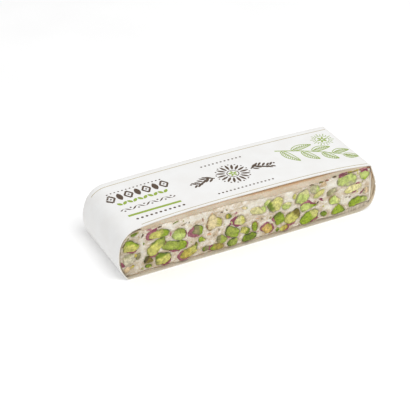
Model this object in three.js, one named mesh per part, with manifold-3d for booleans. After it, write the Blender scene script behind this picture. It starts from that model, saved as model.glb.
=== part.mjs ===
// A soft nougat bar full of pistachios, with a wafer sheet above and below it, lying in a card
// carton whose long front side is one open window. Millimetres, +Z up, X along the bar and the
// window towards -Y. The origin is under the middle of the carton, on the surface it rests on.

import * as THREE from 'three';
import { mergeVertices } from 'three/addons/utils/BufferGeometryUtils.js';
import Module from 'manifold-3d';

const wasm = await Module();
wasm.setup();

// ---- Driving dimensions, mm ----

// Carton. Y runs from 0, the window's plane, to CARTON_WIDTH, the closed back.
const CARTON_LENGTH = 136; // between the two upright creases
const CARTON_WIDTH = 46;
const CARTON_HEIGHT = 25.2; // at the ends of the top panel
const CARD = 0.45; // thickness of the card
const CROWN = 1.4; // how far the top panel arches up at mid-length
const TOP_SETBACK = 2.9; // how far the top panel's front edge is cut back
const SETBACK_POWER = 5; // how squarely that edge turns in at its two ends
const TOP_BAND = 1.5; // the card's line above this much below the ends' height is the top panel
const BOTTOM_LIP = 1.6; // how far the bottom panel's front edge stands out
const LIP_RISE = 9; // height over which the ends return from the lip to the window's plane
const BULGE_FRONT = 4; // how far an end panel swells out at the window
const BULGE_BACK = 2.3; // and at the closed back
const BULGE_HEIGHT = 10.8; // where an end panel is widest
const BULGE_DROP = 1.3; // how much lower that is at the closed back
const SHOULDER = 6.5; // length of top panel that the left end's soft bend takes
const SHOULDER_GROWTH = 3; // how much longer that bend is at the closed back
const SHOULDER_FALL = 0.35; // how far the top panel has come down where that bend starts
const FOOT = 9; // length of bottom panel that the right end's soft bend takes
const HANDLES = { // how far each bend's curve keeps its first direction
  shoulder: 8.5, leftUp: 8, leftDown: 4.3, rightDown: 6.3, rightUp: 4.8,
};
const HEEL = { share: 0.65, height: 3.2 }; // where the left end turns in to its lower crease
const BROW = { share: 0.4, height: 20.2 }; // where the right end turns in to its upper crease
const STEPS = { top: 28, shoulder: 12, leftFoot: 8, bottom: 10, rightFoot: 10, rightEnd: 24 };
const NOTCH_HEIGHT = 13.2; // a nick in the right end's front edge, where its two flaps meet
const NOTCH_DEPTH = 1.1;
const NOTCH_HALF = 0.6;

// Food
const WAFER = 0.4; // thickness of a wafer sheet
const WAFER_INSET = 0.3; // how far the sheets stay back from the bar's front and back
const WAFER_CORNER = 1.5; // radius of a sheet's corners
const GAP = 0.25; // clearance between pieces that touch
const BAR_SLACK = 0.15; // further room above the bar
const BACK_SLACK = 0.2; // and behind it
const WALL_SLOPE = 1.6; // the card's thickness measured along the bar, where an end slopes most
const NOUGAT_LEFT = -71.2; // the bar's ends, before the end panels press them in
const NOUGAT_RIGHT = 68.1;
const NOUGAT_BLEND = 24; // length over which each end is pressed in
const WAFER_TOP_LEFT = -59.5; // the upper wafer stops short of the shoulder
const WAFER_BOTTOM_LEFT = -67;
const WAFER_RIGHT = 66.6;
const NOUGAT_EDGE = 0.8; // radius along the cut edges
const NOUGAT_CORNER = 1.8; // radius of the corners at the left end
const TOP_DIP = 2.3; // the top of the cut face sinks by this much to the right of its middle
const TOP_DIP_AT = 21;
const TOP_DIP_HALF = 24;
const DIP_FROM = 0.4; // behind the face the top rises again between these depths
const DIP_TO = 4.8;
const END_LIFT = 2.7; // the right end's underside curls up by this much
const END_LIFT_FROM = 42;
const END_LIFT_TO = 67;
const BLOCK_HEIGHT = 22; // the bar's height before it is fitted between the panels
const FACE_WAVES = [ // unevenness of the cut face
  { height: 0.21, along: 0.21, up: 0.32, phase: 0 },
  { height: 0.14, along: 0.53, up: -0.47, phase: 1.3 },
];

// Pistachios
const PROUD = 0.75; // how far a large kernel stands out of the cut face
const PROUD_WIDTH = 4; // a narrower kernel stands out less
const KERNEL_DEPTH = 2.2; // most half thickness of a kernel, across the face
const KERNEL_UNEVEN = 0.1; // how much a kernel's outline wanders
const ROOM = { side: 0.5, front: 3, depth: 8 }; // kernels stay this far inside the bar's ends
const BIT_COUNT = 46; // chopped bits between the kernels
const BIT_MIN = 1.1;
const BIT_MAX = 2.2;
const BIT_WIDTH = 0.65; // of its length
const BIT_CLEAR = 0.3; // room left round each bit
const BIT_MARGIN = { left: 3, right: 2, level: 1.2 };
const BIT_TRIES = 4000;
const SEED = 11;

// Kernels and halves that show on the cut face, from left to right:
// distance along the bar, height, length, width, tilt in degrees.
const KERNELS = [
  [-65.0, 18.2, 8.2, 5.8, -25], [-62.6, 23.4, 4.2, 2.6, 15], [-67.0, 5.9, 5.0, 2.4, 20],
  [-62.0, 11.1, 3.6, 2.0, 60], [-57.0, 4.0, 4.0, 2.3, -15], [-56.0, 7.1, 5.2, 3.8, -30],
  [-52.6, 14.2, 11.5, 6.2, 27], [-51.0, 20.3, 11.4, 4.5, -2], [-49.0, 6.4, 8.0, 6.3, -5],
  [-42.7, 11.5, 13.6, 4.8, -12], [-40.1, 17.1, 7.4, 6.6, -30], [-35.0, 4.9, 9.8, 5.2, 8],
  [-31.0, 16.0, 7.0, 5.6, -35], [-28.0, 9.8, 4.4, 2.4, -25], [-26.0, 4.4, 3.6, 2.7, 20],
  [-21.2, 17.8, 9.4, 6.0, -22], [-19.8, 3.4, 7.6, 3.8, -5], [-17.4, 7.1, 5.6, 4.0, -25],
  [-13.4, 18.6, 3.4, 2.8, -20], [-11.2, 3.4, 5.6, 4.8, 10], [-11.0, 9.4, 9.0, 4.8, -25],
  [-7.2, 14.3, 7.4, 5.4, -35], [-4.7, 7.5, 5.0, 3.6, -30], [-1.8, 3.4, 8.6, 3.6, -2],
  [1.3, 8.5, 5.4, 3.2, 100], [3.6, 16.8, 9.0, 3.4, -10], [7.8, 6.0, 7.2, 5.4, -35],
  [12.8, 17.3, 8.8, 7.4, 30], [14.3, 2.6, 2.6, 2.0, 80], [15.1, 9.0, 7.6, 5.2, 115],
  [17.9, 2.8, 5.2, 3.0, 25], [19.2, 15.0, 5.4, 3.8, 10], [22.9, 7.5, 9.0, 5.6, 20],
  [23.4, 18.8, 3.4, 2.2, 85], [28.4, 17.3, 8.6, 7.0, 40], [31.8, 11.3, 9.6, 4.3, 0],
  [32.9, 4.6, 11.6, 5.8, 25], [35.6, 19.9, 5.6, 4.0, -20], [38.0, 16.1, 6.6, 3.0, 25],
  [39.0, 12.7, 3.2, 2.0, -40], [41.1, 4.0, 4.0, 2.8, -15], [45.3, 15.0, 5.8, 3.4, 25],
  [47.6, 9.7, 7.4, 3.8, -30], [49.5, 3.8, 7.6, 4.4, 15], [54.3, 19.8, 12.0, 6.9, -8],
  [57.9, 13.9, 10.2, 4.3, 12], [61.2, 5.4, 10.8, 4.0, 8], [64.6, 20.0, 6.2, 4.8, -60],
  [65.4, 10.7, 4.6, 3.4, 70],
];

// ---- Small helpers ----

const { lerp, smoothstep, degToRad } = THREE.MathUtils;
const HALF = CARTON_LENGTH / 2;

// A repeatable stream of numbers from 0 to 1.
function randomStream(seed) {
  let state = seed;
  return () => {
    state = (state * 16807) % 2147483647;
    return state / 2147483647;
  };
}

// A flat-topped bump: 1 at the centre, 0 well outside the half width.
const bump = (x, centre, half) => Math.exp(-(((x - centre) / half) ** 4));

// How far the arched top panel stands above its ends.
const crown = (x) => CROWN * Math.max(0, 1 - (x / HALF) ** 2);

function toSolid(geometry) {
  const bare = geometry.clone();
  for (const name of Object.keys(bare.attributes)) {
    if (name !== 'position') bare.deleteAttribute(name);
  }
  const merged = mergeVertices(bare, 1e-4);
  return new wasm.Manifold(new wasm.Mesh({
    numProp: 3,
    vertProperties: new Float32Array(merged.attributes.position.array),
    triVerts: new Uint32Array(merged.index.array),
  }));
}

function toGeometry(solid) {
  const { vertProperties, triVerts } = solid.getMesh();
  const geometry = new THREE.BufferGeometry();
  geometry.setAttribute('position', new THREE.BufferAttribute(new Float32Array(vertProperties), 3));
  geometry.setIndex(new THREE.BufferAttribute(new Uint32Array(triVerts), 1));
  return geometry;
}

function namedMesh(name, geometry, color, roughness) {
  const material = new THREE.MeshStandardMaterial({ color, roughness, metalness: 0 });
  const mesh = new THREE.Mesh(geometry, material);
  mesh.name = name;
  return mesh;
}

// ---- Carton ----

// The card's outer line in X and Z at one depth: top panel from right to left, left end down to
// its crease, bottom panel to the right, right end up to its crease. share runs from 0 at the
// window to 1 at the back.
function cardLine(share) {
  const bulge = lerp(BULGE_FRONT, BULGE_BACK, share);
  const shoulderEnd = -HALF + SHOULDER + SHOULDER_GROWTH * share;
  const waist = BULGE_HEIGHT - BULGE_DROP * share;
  const v = (x, z) => new THREE.Vector2(x, z);
  const topAt = (x) => v(x, CARTON_HEIGHT + crown(x));

  const join = topAt(shoulderEnd);
  const leftWaist = v(-HALF - bulge, waist);
  const leftCrease = v(-HALF, 0);
  const footStart = v(HALF - FOOT, 0);
  const rightWaist = v(HALF + bulge, waist);

  const top = [];
  for (let i = 0; i <= STEPS.top; i++) top.push(topAt(lerp(HALF, shoulderEnd, i / STEPS.top)));
  const shoulder = new THREE.CubicBezierCurve(
    join,
    v(shoulderEnd - HANDLES.shoulder, join.y - SHOULDER_FALL),
    v(leftWaist.x, waist + HANDLES.leftUp),
    leftWaist,
  );
  const leftFoot = new THREE.CubicBezierCurve(
    leftWaist,
    v(leftWaist.x, waist - HANDLES.leftDown),
    v(-HALF - HEEL.share * bulge, HEEL.height),
    leftCrease,
  );
  const rightFoot = new THREE.CubicBezierCurve(
    footStart,
    v(HALF, 0),
    v(rightWaist.x, waist - HANDLES.rightDown),
    rightWaist,
  );
  const rightEnd = new THREE.CubicBezierCurve(
    rightWaist,
    v(rightWaist.x, waist + HANDLES.rightUp),
    v(HALF + BROW.share * bulge, BROW.height),
    v(HALF, CARTON_HEIGHT),
  );
  return [
    ...top,
    ...shoulder.getPoints(STEPS.shoulder).slice(1),
    ...leftFoot.getPoints(STEPS.leftFoot).slice(1),
    ...new THREE.LineCurve(leftCrease, footStart).getPoints(STEPS.bottom).slice(1),
    ...rightFoot.getPoints(STEPS.rightFoot).slice(1),
    ...rightEnd.getPoints(STEPS.rightEnd).slice(1, -1),
  ];
}

// The same line moved inwards by the card's thickness, mitred at the creases.
function insetLine(line, distance) {
  return line.map((point, i) => {
    const before = line[(i + line.length - 1) % line.length];
    const after = line[(i + 1) % line.length];
    const a = point.clone().sub(before).normalize();
    const b = after.clone().sub(point).normalize();
    const inward = new THREE.Vector2(-a.y - b.y, a.x + b.x).normalize();
    const squareness = Math.max(0.5, inward.dot(new THREE.Vector2(-a.y, a.x)));
    return point.clone().addScaledVector(inward, distance / squareness);
  });
}

// Where the card's front edge lies at a point of its line.
function frontEdge({ x, y: z }) {
  const onTop = z > CARTON_HEIGHT - TOP_BAND;
  if (onTop) return TOP_SETBACK * Math.max(0, 1 - Math.abs(x / HALF) ** SETBACK_POWER);
  const lip = -BOTTOM_LIP * (1 - smoothstep(z, 0, LIP_RISE));
  const nick = x > HALF ? NOTCH_DEPTH * Math.max(0, 1 - Math.abs(z - NOTCH_HEIGHT) / NOTCH_HALF) : 0;
  return lip + nick;
}

function buildCarton() {
  const front = cardLine(0);
  const back = cardLine(1);
  const count = front.length;
  const edge = front.map(frontEdge);
  const frontInner = insetLine(front, CARD);
  const backInner = insetLine(back, CARD);
  const rows = [
    { share: 0, near: front, far: back, depth: (i) => edge[i] },
    { share: 1, near: front, far: back, depth: () => CARTON_WIDTH },
    { share: 1, near: frontInner, far: backInner, depth: () => CARTON_WIDTH - CARD },
    { share: 0, near: frontInner, far: backInner, depth: (i) => edge[i] },
  ];
  const positions = [];
  for (const row of rows) {
    for (let i = 0; i < count; i++) {
      const y = row.depth(i);
      const p = row.near[i].clone().lerp(row.far[i], Math.max(0, y) / CARTON_WIDTH);
      positions.push(p.x, y, p.y);
    }
  }
  const index = [];
  const wall = (a, b) => {
    for (let i = 0; i < count; i++) {
      const j = (i + 1) % count;
      index.push(a + i, b + i, b + j, a + i, b + j, a + j);
    }
  };
  wall(0, count);
  wall(2 * count, 3 * count);
  wall(3 * count, 0);
  const outerBack = THREE.ShapeUtils.triangulateShape(back, []);
  const innerBack = THREE.ShapeUtils.triangulateShape(backInner, []);
  for (const [a, b, c] of outerBack) index.push(count + a, count + c, count + b);
  for (const [a, b, c] of innerBack) index.push(2 * count + a, 2 * count + b, 2 * count + c);
  const geometry = new THREE.BufferGeometry();
  geometry.setAttribute('position', new THREE.Float32BufferAttribute(positions, 3));
  geometry.setIndex(index);
  return geometry;
}

// The inner faces of both end panels at one height, with clearance.
function endWalls(z, share) {
  const front = cardLine(0);
  const back = cardLine(1);
  const line = front.map((point, i) => point.clone().lerp(back[i], share));
  const crossings = [];
  line.forEach((a, i) => {
    const b = line[(i + 1) % line.length];
    if (a.y >= z !== b.y >= z) crossings.push(lerp(a.x, b.x, (z - a.y) / (b.y - a.y)));
  });
  const clearance = CARD * WALL_SLOPE + GAP;
  return [Math.min(...crossings) + clearance, Math.max(...crossings) - clearance];
}

// ---- Food ----

const FLOOR_OF_NOUGAT = CARD + GAP + WAFER + GAP;
const BACK_OF_FOOD = CARTON_WIDTH - CARD - GAP - BACK_SLACK;

const nougatTop = (x, y) => (
  CARTON_HEIGHT + crown(x) - CARD - WAFER - 2 * GAP - BAR_SLACK
  - TOP_DIP * bump(x, TOP_DIP_AT, TOP_DIP_HALF) * (1 - smoothstep(y, DIP_FROM, DIP_TO))
);
const nougatBottom = (x) => FLOOR_OF_NOUGAT + END_LIFT * smoothstep(x, END_LIFT_FROM, END_LIFT_TO);
const nougatFace = (x, z) => FACE_WAVES.reduce(
  (sum, { height, along, up, phase }) => sum + height * Math.sin(x * along + z * up + phase), 0,
);

// Grid lines from 0 to size in a number of even cells.
const evenLines = (size, count) => Array.from({ length: count + 1 }, (_, i) => (size * i) / count);

// Grid lines from 0 to size whose first and last cells have their own widths.
function edgedLines(size, count, first, last) {
  const inner = evenLines(size - first - last, count - 2).map((value) => first + value);
  return [0, ...inner, size];
}

// Depths behind the cut edge: rows where the top rises, then even ones, and one before the back.
function depthLines(size, start) {
  const rise = evenLines(DIP_TO - NOUGAT_EDGE, 4).map((value) => NOUGAT_EDGE + value - start);
  const middle = (rise[4] + size - NOUGAT_CORNER) / 2;
  return [0, ...rise, middle, size - NOUGAT_CORNER, size];
}

// A box on grid lines along X, Y and Z, whose points are moved by place(x, y, z).
function warpedBox(lines, place) {
  const cells = lines.map((line) => line.length - 1);
  const box = new THREE.BoxGeometry(1, 1, 1, ...cells);
  box.deleteAttribute('uv');
  box.deleteAttribute('normal');
  const geometry = mergeVertices(box, 1e-5);
  const position = geometry.attributes.position;
  for (let i = 0; i < position.count; i++) {
    const cell = [position.getX(i), position.getY(i), position.getZ(i)];
    const point = cell.map((value, k) => lines[k][Math.round((value + 0.5) * cells[k])]);
    position.setXYZ(i, ...place(...point));
  }
  return geometry;
}

// Pulls a box's corner in towards a circle of the given radius.
function roundCorner(a, b, sizeA, sizeB, radius) {
  const ca = Math.min(Math.max(a, radius), sizeA - radius);
  const cb = Math.min(Math.max(b, radius), sizeB - radius);
  const da = a - ca;
  const db = b - cb;
  const reach = Math.hypot(da, db);
  return reach > radius ? [ca + (da / reach) * radius, cb + (db / reach) * radius] : [a, b];
}

// Moves a point of the bar towards the middle, so that both ends stay inside the carton.
function pressIn(x, z, share) {
  const [left, right] = endWalls(z, share);
  const nearLeft = Math.max(0, 1 - (x - NOUGAT_LEFT) / NOUGAT_BLEND);
  const nearRight = Math.max(0, 1 - (NOUGAT_RIGHT - x) / NOUGAT_BLEND);
  return x + Math.max(0, left - NOUGAT_LEFT) * nearLeft - Math.max(0, NOUGAT_RIGHT - right) * nearRight;
}

function buildNougatBlock() {
  const size = [NOUGAT_RIGHT - NOUGAT_LEFT, BACK_OF_FOOD, BLOCK_HEIGHT];
  const lines = [
    edgedLines(size[0], 42, NOUGAT_CORNER, NOUGAT_EDGE),
    depthLines(size[1], 0),
    edgedLines(size[2], 9, NOUGAT_EDGE, NOUGAT_EDGE),
  ];
  return warpedBox(lines, (a, b, c) => {
    const radius = a < size[0] / 2 ? NOUGAT_CORNER : NOUGAT_EDGE;
    let [along, depth] = roundCorner(a, b, size[0], size[1], radius);
    let height = c;
    [depth, height] = roundCorner(depth, height, size[1], size[2], NOUGAT_EDGE);
    [along, height] = roundCorner(along, height, size[0], size[2], radius);
    const free = NOUGAT_LEFT + along;
    const z = lerp(nougatBottom(free), nougatTop(free, depth), height / size[2]);
    const x = pressIn(free, z, depth / size[1]);
    const y = depth + nougatFace(x, z) * (1 - depth / size[1]);
    return [x, y, lerp(nougatBottom(free), nougatTop(free, y), height / size[2])];
  });
}

// The room that kernels may take: the bar's own height, out in front of its face.
function buildKernelRoom() {
  const size = [NOUGAT_RIGHT - NOUGAT_LEFT - 2 * ROOM.side, ROOM.depth, BLOCK_HEIGHT];
  const lines = [evenLines(size[0], 42), evenLines(size[1], 2), evenLines(size[2], 6)];
  return warpedBox(lines, (a, b, c) => {
    const free = NOUGAT_LEFT + ROOM.side + a;
    const z = lerp(nougatBottom(free), nougatTop(free, 0), c / size[2]);
    return [pressIn(free, z, 0), b - ROOM.front, z];
  });
}

// One kernel, cut by the face: an uneven pebble whose footprint on the face is length by width.
function buildKernel([x, z, length, width, tilt], detail, random) {
  const geometry = new THREE.IcosahedronGeometry(1, detail);
  geometry.deleteAttribute('uv');
  geometry.deleteAttribute('normal');
  const pebble = mergeVertices(geometry, 1e-4);
  const depth = Math.min(KERNEL_DEPTH, width / 2 + 0.3);
  const proud = PROUD * Math.min(1, width / PROUD_WIDTH);
  const footprint = Math.sqrt(1 - ((depth - proud) / depth) ** 2);
  const position = pebble.attributes.position;
  for (let i = 0; i < position.count; i++) {
    const uneven = 1 + KERNEL_UNEVEN * (random() - 0.5);
    position.setXYZ(
      i,
      (position.getX(i) * uneven * length) / 2 / footprint,
      position.getY(i) * depth,
      (position.getZ(i) * uneven * width) / 2 / footprint,
    );
  }
  pebble.rotateY(-degToRad(tilt));
  pebble.translate(x, nougatFace(x, z) + depth - proud, z);
  return pebble;
}

// Chopped bits, dropped at random where no kernel and no other bit lies.
function scatterBits(random) {
  const taken = KERNELS.map(([x, z, length, width]) => [x, z, (length + width) / 4]);
  const bits = [];
  for (let tries = 0; bits.length < BIT_COUNT && tries < BIT_TRIES; tries++) {
    const x = lerp(NOUGAT_LEFT + BIT_MARGIN.left, NOUGAT_RIGHT - BIT_MARGIN.right, random());
    const z = lerp(nougatBottom(x) + BIT_MARGIN.level, nougatTop(x, 0) - BIT_MARGIN.level, random());
    const length = lerp(BIT_MIN, BIT_MAX, random());
    const reach = length / 2 + BIT_CLEAR;
    const clear = taken.every(([tx, tz, radius]) => Math.hypot(x - tx, z - tz) > radius + reach);
    if (!clear) continue;
    taken.push([x, z, length / 2]);
    bits.push([x, z, length, length * BIT_WIDTH, 180 * random()]);
  }
  return bits;
}

function buildNougat() {
  const random = randomStream(SEED);
  const kernels = KERNELS.map((kernel) => toSolid(buildKernel(kernel, 1, random)));
  const bits = scatterBits(random).map((bit) => toSolid(buildKernel(bit, 0, random)));
  const inclusions = wasm.Manifold.union([...kernels, ...bits]).intersect(toSolid(buildKernelRoom()));
  const whole = toSolid(buildNougatBlock()).add(inclusions);
  const pieces = whole.decompose();
  pieces.sort((a, b) => b.volume() - a.volume());
  return toGeometry(pieces[0]);
}

// A wafer sheet that follows the bar's top or underside.
function buildWafer(left, underside) {
  const size = [WAFER_RIGHT - left, BACK_OF_FOOD - 2 * WAFER_INSET, WAFER];
  const lines = [
    edgedLines(size[0], 42, WAFER_CORNER, WAFER_CORNER),
    depthLines(size[1], WAFER_INSET),
    [0, WAFER],
  ];
  return warpedBox(lines, (a, b, c) => {
    const [along, depth] = roundCorner(a, b, size[0], size[1], WAFER_CORNER);
    const [x, y] = [left + along, WAFER_INSET + depth];
    return [x, y, underside(x, y) + c];
  });
}

// ---- The whole ----

const nougat = namedMesh('nougat', buildNougat(), 0xdfd3bd, 0.6);
const upperWafer = buildWafer(WAFER_TOP_LEFT, (x, y) => nougatTop(x, y) + GAP);
const lowerWafer = buildWafer(WAFER_BOTTOM_LEFT, (x) => nougatBottom(x) - GAP - WAFER);
const waferTop = namedMesh('wafer_top', upperWafer, 0xc9b79c, 0.8);
const waferBottom = namedMesh('wafer_bottom', lowerWafer, 0xc9b79c, 0.8);
const carton = namedMesh('carton', buildCarton(), 0xf3f2f1, 0.5);

const bar = new THREE.Group();
bar.add(nougat, waferTop, waferBottom, carton);
bar.position.set(0, (BOTTOM_LIP - CARTON_WIDTH) / 2, 0);

export default bar;
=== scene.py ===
# A soft pistachio nougat bar between wafer sheets, in a white card carton whose long front side is an
# open window. Shapes are worked out in millimetres, with Y from 0 at the window to the closed back,
# and every piece is put into the frame in metres.

import math
from collections import namedtuple

import bpy
import numpy as np
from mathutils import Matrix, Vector, noise


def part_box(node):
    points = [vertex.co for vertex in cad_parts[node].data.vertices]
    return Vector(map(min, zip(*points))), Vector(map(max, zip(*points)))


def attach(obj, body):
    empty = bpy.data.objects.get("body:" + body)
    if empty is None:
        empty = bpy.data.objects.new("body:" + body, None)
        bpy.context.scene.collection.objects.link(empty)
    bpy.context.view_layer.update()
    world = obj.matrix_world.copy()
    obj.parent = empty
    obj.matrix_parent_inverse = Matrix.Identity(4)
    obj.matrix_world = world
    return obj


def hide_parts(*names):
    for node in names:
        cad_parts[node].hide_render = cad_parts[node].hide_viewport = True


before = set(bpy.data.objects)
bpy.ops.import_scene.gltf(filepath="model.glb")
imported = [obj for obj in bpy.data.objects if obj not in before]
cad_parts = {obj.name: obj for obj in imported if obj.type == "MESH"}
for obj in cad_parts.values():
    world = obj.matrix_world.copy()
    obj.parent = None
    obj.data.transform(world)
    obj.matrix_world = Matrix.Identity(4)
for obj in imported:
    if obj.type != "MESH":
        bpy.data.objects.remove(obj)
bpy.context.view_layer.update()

# ---- Sizes, mm ----

MM = 0.001
CARTON_LENGTH = 136.0  # between the two upright creases
CARTON_HEIGHT = 25.2  # at the ends of the top panel
CARTON_WIDTH = 46.0
CARD = 0.45
CROWN = 1.4  # how far the top panel arches up at mid-length
TOP_SETBACK = 2.9  # how far the top panel's front edge is cut back
SETBACK_POWER = 5  # how squarely that edge turns in at its two ends
SETBACK_FADE = (4.0, 1.0)  # it ends between these distances below the ends of the top panel
BOTTOM_LIP = 1.6  # how far the bottom panel's front edge stands out
LIP_RISE = 9.0
BULGE_FRONT = 4.0  # how far an end panel swells out at the window
BULGE_BACK = 2.3  # and at the closed back
BULGE_HEIGHT = 10.8
BULGE_DROP = 1.3
SHOULDER = 6.5  # length of top panel that the left end's bend takes
SHOULDER_GROWTH = 3.0
SHOULDER_FALL = 0.35
FOOT = 9.0  # length of bottom panel that the right end's bend takes
HANDLES = {"shoulder": 8.5, "left_up": 8.0, "left_down": 4.3, "right_down": 6.3, "right_up": 4.8}
HEEL_SHARE, HEEL_HEIGHT = 0.65, 3.2  # where the left end turns in to its lower crease
BROW_SHARE, BROW_HEIGHT = 0.4, 20.2  # where the right end turns in to its upper crease
LEFT_END, RIGHT_END = 0.95, 0.965  # share of each of these two curves that its crease leaves
LINE_STEPS = {"top": 120, "shoulder": 40, "left_foot": 22, "bottom": 70, "right_foot": 30, "right_end": 44}
FOLD_STEPS = 5
CREASE = 0.6  # reach of a sharp fold, either side
BACK_FOLD = 0.8  # radius of the fold round the back panel
NICK_HEIGHT, NICK_DEPTH, NICK_HALF = 13.2, 1.1, 0.6

WAFER = 0.4
GAP = 0.25
REST = 0.2  # how much closer than the gap the bar and its wafers lie
BAR_SLACK = 0.15
BACK_SLACK = 0.2
WALL_SLOPE = 1.6  # the card's thickness measured along the bar, where an end slopes most
BAR_LEFT, BAR_RIGHT = -71.2, 68.1  # the bar's ends, before the end panels press them in
BAR_BLEND = 24.0
BAR_HEIGHT = 22.0  # before the bar is fitted between the panels
BAR_EDGE = 0.8
BAR_CORNER = 1.8
TOP_DIP, TOP_DIP_AT, TOP_DIP_HALF = 2.3, 21.0, 24.0
DIP_FROM, DIP_TO = 0.4, 4.8  # depths between which the top rises again behind the cut
END_LIFT, END_LIFT_FROM, END_LIFT_TO = 2.7, 42.0, 67.0
FACE_CELL = 0.3  # grid of the cut face
FACE_WAVES = ((0.21, 0.21, 0.32, 0.0), (0.14, 0.53, -0.47, 1.3))  # height, turn along and up, and start

HALF = CARTON_LENGTH / 2
WINDOW_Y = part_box("carton")[0].y / MM + BOTTOM_LIP  # the window's plane in the frame
BAR_FLOOR = CARD + GAP + WAFER + GAP
BAR_BACK = CARTON_WIDTH - CARD - GAP - BACK_SLACK


# ---- Small helpers ----

def smoothstep(value, low, high):
    t = np.clip((value - low) / (high - low), 0.0, 1.0)
    return t * t * (3 - 2 * t)


def ripple(x, z, size, seed=0.0):
    """Smooth noise from -1 to 1 over arrays of places, with features about size mm across."""
    flat = [noise.noise((a / size, b / size, seed)) for a, b in zip(np.ravel(x), np.ravel(z))]
    return np.array(flat).reshape(np.shape(x))


def hue(red, green, blue):
    """A colour given in 0 to 255, as linear light."""
    values = []
    for part in (red, green, blue):
        share = part / 255
        values.append(share / 12.92 if share <= 0.04045 else ((share + 0.055) / 1.055) ** 2.4)
    return (*values, 1.0)


def xyz(x, y, z):
    """Arrays of coordinates as one list of points."""
    return np.stack([np.ravel(x), np.ravel(y), np.ravel(z)], 1)


def band(first, second):
    """
    The faces between two closed rings, each a row of point numbers. They face outwards where the rings
    turn anticlockwise, seen from the side where the first one lies.
    """
    pairs = list(zip(first, second))
    return [(a, b, d, c) for (a, b), (c, d) in zip(pairs, pairs[1:] + pairs[:1])]


def inside_out(faces):
    """The same faces, turned to face the other way."""
    return [(face[0], *face[:0:-1]) for face in faces]


def rim_of(rows, columns):
    """The numbers of a grid's outer points, once round."""
    far = [i * columns + columns - 1 for i in range(rows - 2, -1, -1)]
    end = [(rows - 1) * columns + j for j in range(1, columns)]
    return [i * columns for i in range(rows)] + end + far + list(range(columns - 2, 0, -1))


def link(name, mesh):
    piece = bpy.data.objects.new(name, mesh)
    bpy.context.scene.collection.objects.link(piece)
    return piece


def solid(name, points, faces, materials, smooth, zones=None, marks=None):
    """
    A closed piece from points in mm and faces that turn anticlockwise, seen from outside. smooth is the
    sharpest angle that looks round, zones each face's material number, and marks named values on points.
    """
    mesh = bpy.data.meshes.new(name)
    mesh.from_pydata([(x * MM, (y + WINDOW_Y) * MM, z * MM) for x, y, z in points], [], faces)
    for material in materials:
        mesh.materials.append(material)
    if zones is not None:
        mesh.polygons.foreach_set("material_index", np.asarray(zones, dtype=np.int32))
    mesh.polygons.foreach_set("use_smooth", np.ones(len(mesh.polygons), dtype=bool))
    for mark, values in (marks or {}).items():
        values = np.asarray(values, dtype=np.float32)
        kind, field = ("FLOAT", "value") if values.ndim == 1 else ("FLOAT_COLOR", "color")
        mesh.attributes.new(mark, kind, "POINT").data.foreach_set(field, values.ravel())
    mesh.validate()
    mesh.set_sharp_from_angle(angle=math.radians(smooth))
    return link(name, mesh)


def slab(name, top, under, columns, material, smooth, marks):
    """
    A closed sheet between two grids of points that are numbered alike. Seen from the top, the columns of
    one row run anticlockwise from the way that the rows follow each other.
    """
    count = len(top)
    rows = count // columns
    faces = []
    for i in range(rows - 1):
        for a in range(i * columns, (i + 1) * columns - 1):
            quad = (a, a + columns, a + columns + 1, a + 1)
            faces.append(quad)
            faces.append(tuple(count + k for k in reversed(quad)))
    rim = rim_of(rows, columns)
    faces += band(rim, [count + k for k in rim])
    both = {mark: np.tile(np.ravel(values), 2) for mark, values in marks.items()}
    return solid(name, np.concatenate([top, under]), faces, [material], smooth, marks=both)


def belongs(piece, slot, *nodes):
    """The piece rides on the object and stands for these nodes. Its slot is not used."""
    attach(piece, "root")
    if nodes:
        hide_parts(*nodes)


# ---- Materials ----

class Value:
    """A node's output that sums work on."""

    def __init__(self, finish, socket):
        self.finish = finish
        self.socket = socket

    def __add__(self, other):
        return self.finish.add("ShaderNodeMath", {"operation": "ADD"}, {0: self, 1: other})

    def __mul__(self, other):
        return self.finish.add("ShaderNodeMath", {"operation": "MULTIPLY"}, {0: self, 1: other})

    __radd__ = __add__
    __rmul__ = __mul__


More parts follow.
